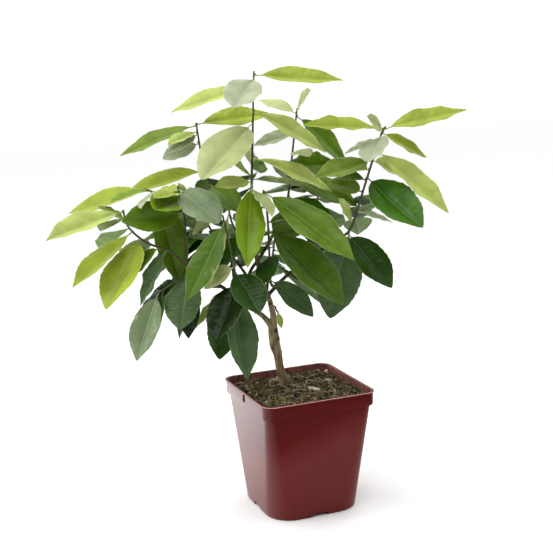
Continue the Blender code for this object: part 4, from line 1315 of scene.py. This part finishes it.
def grow_leaves(limbs):
    """All leaves of all shoots, by the model's rule, with the stems that they grow on."""
    stems = {}
    for name, shoot in SHOOTS.items():
        path, radii = limbs[shoot["bough"]]
        stems[name] = (grow_on(path, shoot["stem"]), (radii[-1], STEM_TIP_RADIUS))
    twigs = {}
    for name, shoot in SHOOTS.items():
        if "twig" in shoot:
            twigs[name] = (smooth_path([plant_point(point) for point in shoot["twig"]], 3), TWIG_RADII)
    boughs = [node_tree_of(name) for name in ("trunk", *BOUGHS)]
    grown = []
    for name in SHOOTS:
        grown.append(tube_tree(*stems[name], 8))
        if name in twigs:
            grown.append(tube_tree(*twigs[name], 4))
    leaves = {}
    for name, shoot in SHOOTS.items():
        leaves[name] = shown_leaves(name, "stem", stems[name][0], shoot["leaves"], boughs, grown)
        if name in twigs:
            leaves[name] += shown_leaves(name, "twig", twigs[name][0], shoot["twig_leaves"], boughs, grown)
    for name in SHOOTS:
        leaves[name] += spare_leaves(name, stems[name][0], boughs, grown)
    return leaves, stems, twigs


# The finer leaves


def fine_leaf(leaf, heap, draw):
    """A leaf with its stalk, midrib, pleated side veins, folded wavy blade and thin edge."""
    length = leaf["length"] * MM
    heading = math.radians(leaf["heading"]) + PLANT_TURN
    roll = math.radians(leaf["roll"])
    droop = math.radians(leaf["droop"])
    start = math.radians(leaf["rise"]) + droop / 2
    ahead = np.array((math.cos(heading), math.sin(heading), 0.0))
    left = np.array((-math.sin(heading), math.cos(heading), 0.0))
    sky = np.array((0.0, 0.0, 1.0))
    root = np.array(leaf["root"])

    twist = math.radians(draw.uniform(-LEAF_TWIST, LEAF_TWIST))

    def along_frame(place):
        slope = start - droop * place
        turn = (roll + twist * (place - 0.5))[..., None]
        middle = root + length / droop * (np.multiply.outer(math.sin(start) - np.sin(slope), ahead)
                                          + np.multiply.outer(np.cos(slope) - math.cos(start), sky))
        middle = middle + np.multiply.outer(4 * leaf["bow"] * length * place * (1 - place), left)
        normal = np.multiply.outer(np.cos(slope), sky) - np.multiply.outer(np.sin(slope), ahead)
        side = left * np.cos(turn) + normal * np.sin(turn)
        normal = normal * np.cos(turn) - left * np.sin(turn)
        return middle, side, normal

    rows = VEIN_PAIRS * ROWS_PER_VEIN
    shares = np.array([RIM_SHARE * index / LEAF_COLUMNS for index in range(1, LEAF_COLUMNS + 1)] + [1.0])
    columns = np.concatenate([-shares[::-1], [-0.01, 0.01], shares])
    along = np.linspace(0.0, 1.0, rows + 1)
    grid, across = np.meshgrid(along, columns, indexing="ij")
    reach = np.abs(across)
    blade = grid + VEIN_SLANT * reach ** 1.3 * np.clip(4 * grid * (1 - grid), 0, 1) ** 0.8 * (1 - grid)
    place = STALK_SHARE + (1 - STALK_SHARE) * blade
    wide = np.sin(np.pi * np.clip(blade, 0, 1) ** BLADE_SKEW) ** fullness(leaf) * leaf["width"] * MM / 2
    wide = wide * (1 - TIP_PINCH * np.clip((blade - TIP_START) / (1 - TIP_START), 0, 1) ** 0.8)
    rib = RIB_WIDTH[0] + (RIB_WIDTH[1] - RIB_WIDTH[0]) * grid
    out = np.sign(across) * np.where(reach < 0.02, rib, rib + np.maximum(wide - rib, 0.00002) * reach)
    out = out * (1 + 0.015 * np.sin(grid * 60) * reach)
    phase = draw.uniform(0, 2 * math.pi)
    waves = draw.uniform(1.4, 2.8)
    curl = draw.uniform(*EDGE_CURL)
    fold = math.tan(LEAF_FOLD) * draw.uniform(*FOLD_SHARE)
    lift = np.abs(out) * fold * (1 + curl - (FOLD_FADE + 1.3 * curl) * reach)
    lift = lift - FOLD_CENTRING * fold * wide
    edge_wave = draw.uniform(*EDGE_WAVE)
    lift = lift + edge_wave * wide * np.sin(2 * np.pi * waves * grid + phase + (across > 0) * 1.7) * reach ** 2
    swell = draw.uniform(*SWELL_HEIGHT) * np.minimum(1, 5 * wide / length) * (1 - 0.5 * reach ** 2)
    hills = math.tau / SWELL_SIZE
    lift = lift + swell * (np.sin(hills * grid * length + 2 * across + phase)
                           * np.cos(1.4 * hills * out + 3 * phase) * reach ** 0.5)
    between = np.sin(np.pi * (grid * VEIN_PAIRS % 1.0)) ** 0.6 - 0.5
    bulge = between * VEIN_DEPTH * (1 - reach ** 3) * np.minimum(1, 6 * wide / length)
    lift = lift + np.where(reach < 0.02, -0.5 * VEIN_DEPTH, bulge)
    middle, side, normal = along_frame(place)
    base = middle + side * out[..., None]
    thick = LEAF_HALF_THICK * (1 - 0.8 * reach ** 4)
    upper = base + normal * (lift + thick)[..., None]
    under_lift = lift - thick - np.where(reach < 0.02, 0.7 * rib, 0)
    under = base + normal * under_lift[..., None]
    count = len(columns)
    total = (rows + 1) * count
    index = np.arange(total).reshape(rows + 1, count)
    quads = np.stack([index[:-1, :-1], index[1:, :-1], index[1:, 1:], index[:-1, 1:]], axis=-1)
    slots = np.zeros(quads.shape[:2], dtype=int)
    slots[:, len(shares)] = 1
    slots[:, [0, -1]] = 3
    top_faces = quads.reshape(-1, 4)
    low_faces = top_faces[:, ::-1] + total
    edges = []
    for column in (0, count - 1):
        line = index[:, column]
        face = np.stack([line[:-1], line[1:], line[1:] + total, line[:-1] + total], axis=-1)
        edges.append(face if column else face[:, ::-1])
    for row in (0, rows):
        line = index[row]
        face = np.stack([line[:-1], line[1:], line[1:] + total, line[:-1] + total], axis=-1)
        edges.append(face[:, ::-1] if row else face)
    faces = np.concatenate([top_faces, low_faces] + edges)
    under_slots = np.where(slots.reshape(-1) == 1, 1, 2)
    all_slots = np.concatenate([slots.reshape(-1), under_slots, np.full(sum(map(len, edges)), 3)])
    points = np.concatenate([upper.reshape(-1, 3), under.reshape(-1, 3)])
    heap.add(points, faces, all_slots)
    stalk = np.linspace(-ROOT_BEHIND, STALK_SHARE + 0.03, 7)
    spine, _, up = along_frame(stalk)
    spine = spine - up * 0.0002
    swelling = [1.25, 1.1, 0.9, 0.8, 0.8, 0.95, 0.8]
    tube_shape([Vector(point) for point in spine], swelling, 7, heap, 1)


def make_leaves(leaves):
    """All leaves, gathered by tone into a few pieces."""
    heaps = {tone: Heap() for tone in TONES}
    for name in SHOOTS:
        for index, leaf in enumerate(leaves[name]):
            draw = random.Random(f"{SEED} {name} fine {index}")
            fine_leaf(leaf, heaps[leaf["tone"]], draw)
    things = []
    for tone, heap in heaps.items():
        if heap.count:
            thing = heap.to_object(f"leaves_{TONE_WORDS[tone]}", leaf_skins(tone))
            thing.data.set_sharp_from_angle(angle=math.radians(70))
            things.append(thing)
    return things


def make_stems(leaves, stems, twigs):
    """Green stems and twigs that swell at each leaf, with a bud in each leaf's angle."""
    heap = Heap()
    for name, (path, radii) in list(stems.items()) + list(twigs.items()):
        fine = smooth_path(path, 3)
        inside = path[0] - (path[1] - path[0]).normalized() * 0.002
        fine = [inside] + fine
        tube_shape(fine, spread(radii, len(fine)), 9, heap)
    for name in SHOOTS:
        for index, leaf in enumerate(leaves[name]):
            draw = random.Random(f"{SEED} {name} bud {index}")
            heading = math.radians(leaf["heading"]) + PLANT_TURN
            away = Vector((math.cos(heading), math.sin(heading), 0))
            ahead = path_ahead(leaf["path"], leaf["place"])
            foot = leaf["root"] + away * 0.0008
            tip = foot + (away * 0.6 + ahead).normalized() * draw.uniform(0.0022, 0.0036)
            bud = [foot, foot.lerp(tip, 0.45), tip]
            tube_shape(bud, [0.8, 0.75, 0.2], 6, heap)
    return heap.to_object("green_stems", [stem_skin()])


def make_crown(limbs):
    """Leaves and stems, which stand for the model's shoots."""
    leaves, stems, twigs = grow_leaves(limbs)
    stem = make_stems(leaves, stems, twigs)
    declare(stem, "leaf", *SHOOTS)
    for thing in make_leaves(leaves):
        declare(thing, "leaf", *SHOOTS)


# Camera, light and floor


def make_camera():
    """The photograph's view."""
    back = Vector((math.sin(AZIMUTH) * math.cos(ELEVATION), -math.cos(AZIMUTH) * math.cos(ELEVATION),
                   math.sin(ELEVATION)))
    right = Vector((math.cos(AZIMUTH), math.sin(AZIMUTH), 0))
    up = back.cross(right)
    target = right * TARGET_RIGHT + Vector((0, 0, TARGET_HEIGHT))
    across = right * math.cos(CAMERA_ROLL) + up * math.sin(CAMERA_ROLL)
    above = up * math.cos(CAMERA_ROLL) - right * math.sin(CAMERA_ROLL)
    camera = bpy.data.objects.new("camera", bpy.data.cameras.new("camera"))
    camera.matrix_world = Matrix.Translation(target + back * CAMERA_DISTANCE) @ Matrix(
        (across, above, back)).transposed().to_4x4()
    camera.data.sensor_width = SENSOR
    camera.data.lens = SENSOR * FOCAL_PIXELS / PHOTO_SIDE
    bpy.context.scene.collection.objects.link(camera)
    bpy.context.scene.camera = camera


MIRRORED_LIGHTS = ("overhead", "left")


def area_light(name, place, size, power, aim=(0, 0, 0.3)):
    """A soft square light that points at the crown or at another place."""
    light = bpy.data.lights.new(name, "AREA")
    light.shape = "SQUARE"
    light.size = size
    light.energy = power
    lamp = bpy.data.objects.new(name, light)
    place = Vector(place)
    lamp.location = place
    lamp.visible_camera = False
    lamp.visible_glossy = name in MIRRORED_LIGHTS
    lamp.rotation_euler = (Vector(aim) - place).to_track_quat("-Z", "Y").to_euler()
    bpy.context.scene.collection.objects.link(lamp)


def make_world():
    """White where the camera sees it; as a light it is bright above and behind and dim in front, as in a studio."""
    world = bpy.data.worlds.new("studio")
    bpy.context.scene.world = world
    world.use_nodes = True
    tree = world.node_tree
    background = tree.nodes["Background"]
    background.inputs["Color"].default_value = (1, 1, 1, 1)
    coords = tree.nodes.new("ShaderNodeTexCoord")
    toward = tree.nodes.new("ShaderNodeVectorMath")
    toward.operation = "DOT_PRODUCT"
    toward.inputs[1].default_value = WORLD_AXIS
    glow = tree.nodes.new("ShaderNodeMapRange")
    glow.interpolation_type = "SMOOTHSTEP"
    glow.inputs["From Min"].default_value = -0.55
    glow.inputs["From Max"].default_value = 0.75
    glow.inputs["To Min"].default_value = WORLD_DIM
    glow.inputs["To Max"].default_value = WORLD_BRIGHT
    shown = tree.nodes.new("ShaderNodeMix")
    light_path = tree.nodes.new("ShaderNodeLightPath")
    shown.inputs["B"].default_value = 1.2
    tree.links.new(coords.outputs["Generated"], toward.inputs[0])
    tree.links.new(toward.outputs["Value"], glow.inputs["Value"])
    tree.links.new(glow.outputs["Result"], shown.inputs["A"])
    tree.links.new(light_path.outputs["Is Camera Ray"], shown.inputs["Factor"])
    tree.links.new(shown.outputs["Result"], background.inputs["Strength"])


def make_stage():
    """A pale floor, a white world and soft lights."""
    floor = box_object("floor", (12, 12, 0.01), (0, 0, -0.0052))
    skin, _, _ = new_skin("pale_floor", 0.9, (0.94, 0.94, 0.94))
    floor.data.materials.append(skin)
    make_world()
    area_light("overhead", (-0.3, -0.1, 1.7), 1.2, 9)
    area_light("left", (-1.4, 0.2, 1.1), 0.5, 7)
    area_light("front", (-0.7, -1.2, 1.4), 0.35, 3)
    area_light("behind", (0.9, 0.9, 1.3), 0.35, 3)
    area_light("low_behind", (-1.1, 1.5, 0.25), 1.0, 10)
    area_light("floor_glow", (-0.27, 0.42, 0.26), 0.35, 1.2, (-0.27, 0.42, 0))
    bpy.context.scene.view_settings.view_transform = "Standard"


def main():
    """Make the camera, the plant and its pot, and the stage."""
    make_camera()
    make_pot()
    reach = make_soil()
    make_crumbs(reach)
    limbs = limb_paths()
    make_wood(limbs)
    make_crown(limbs)
    make_stage()


main()
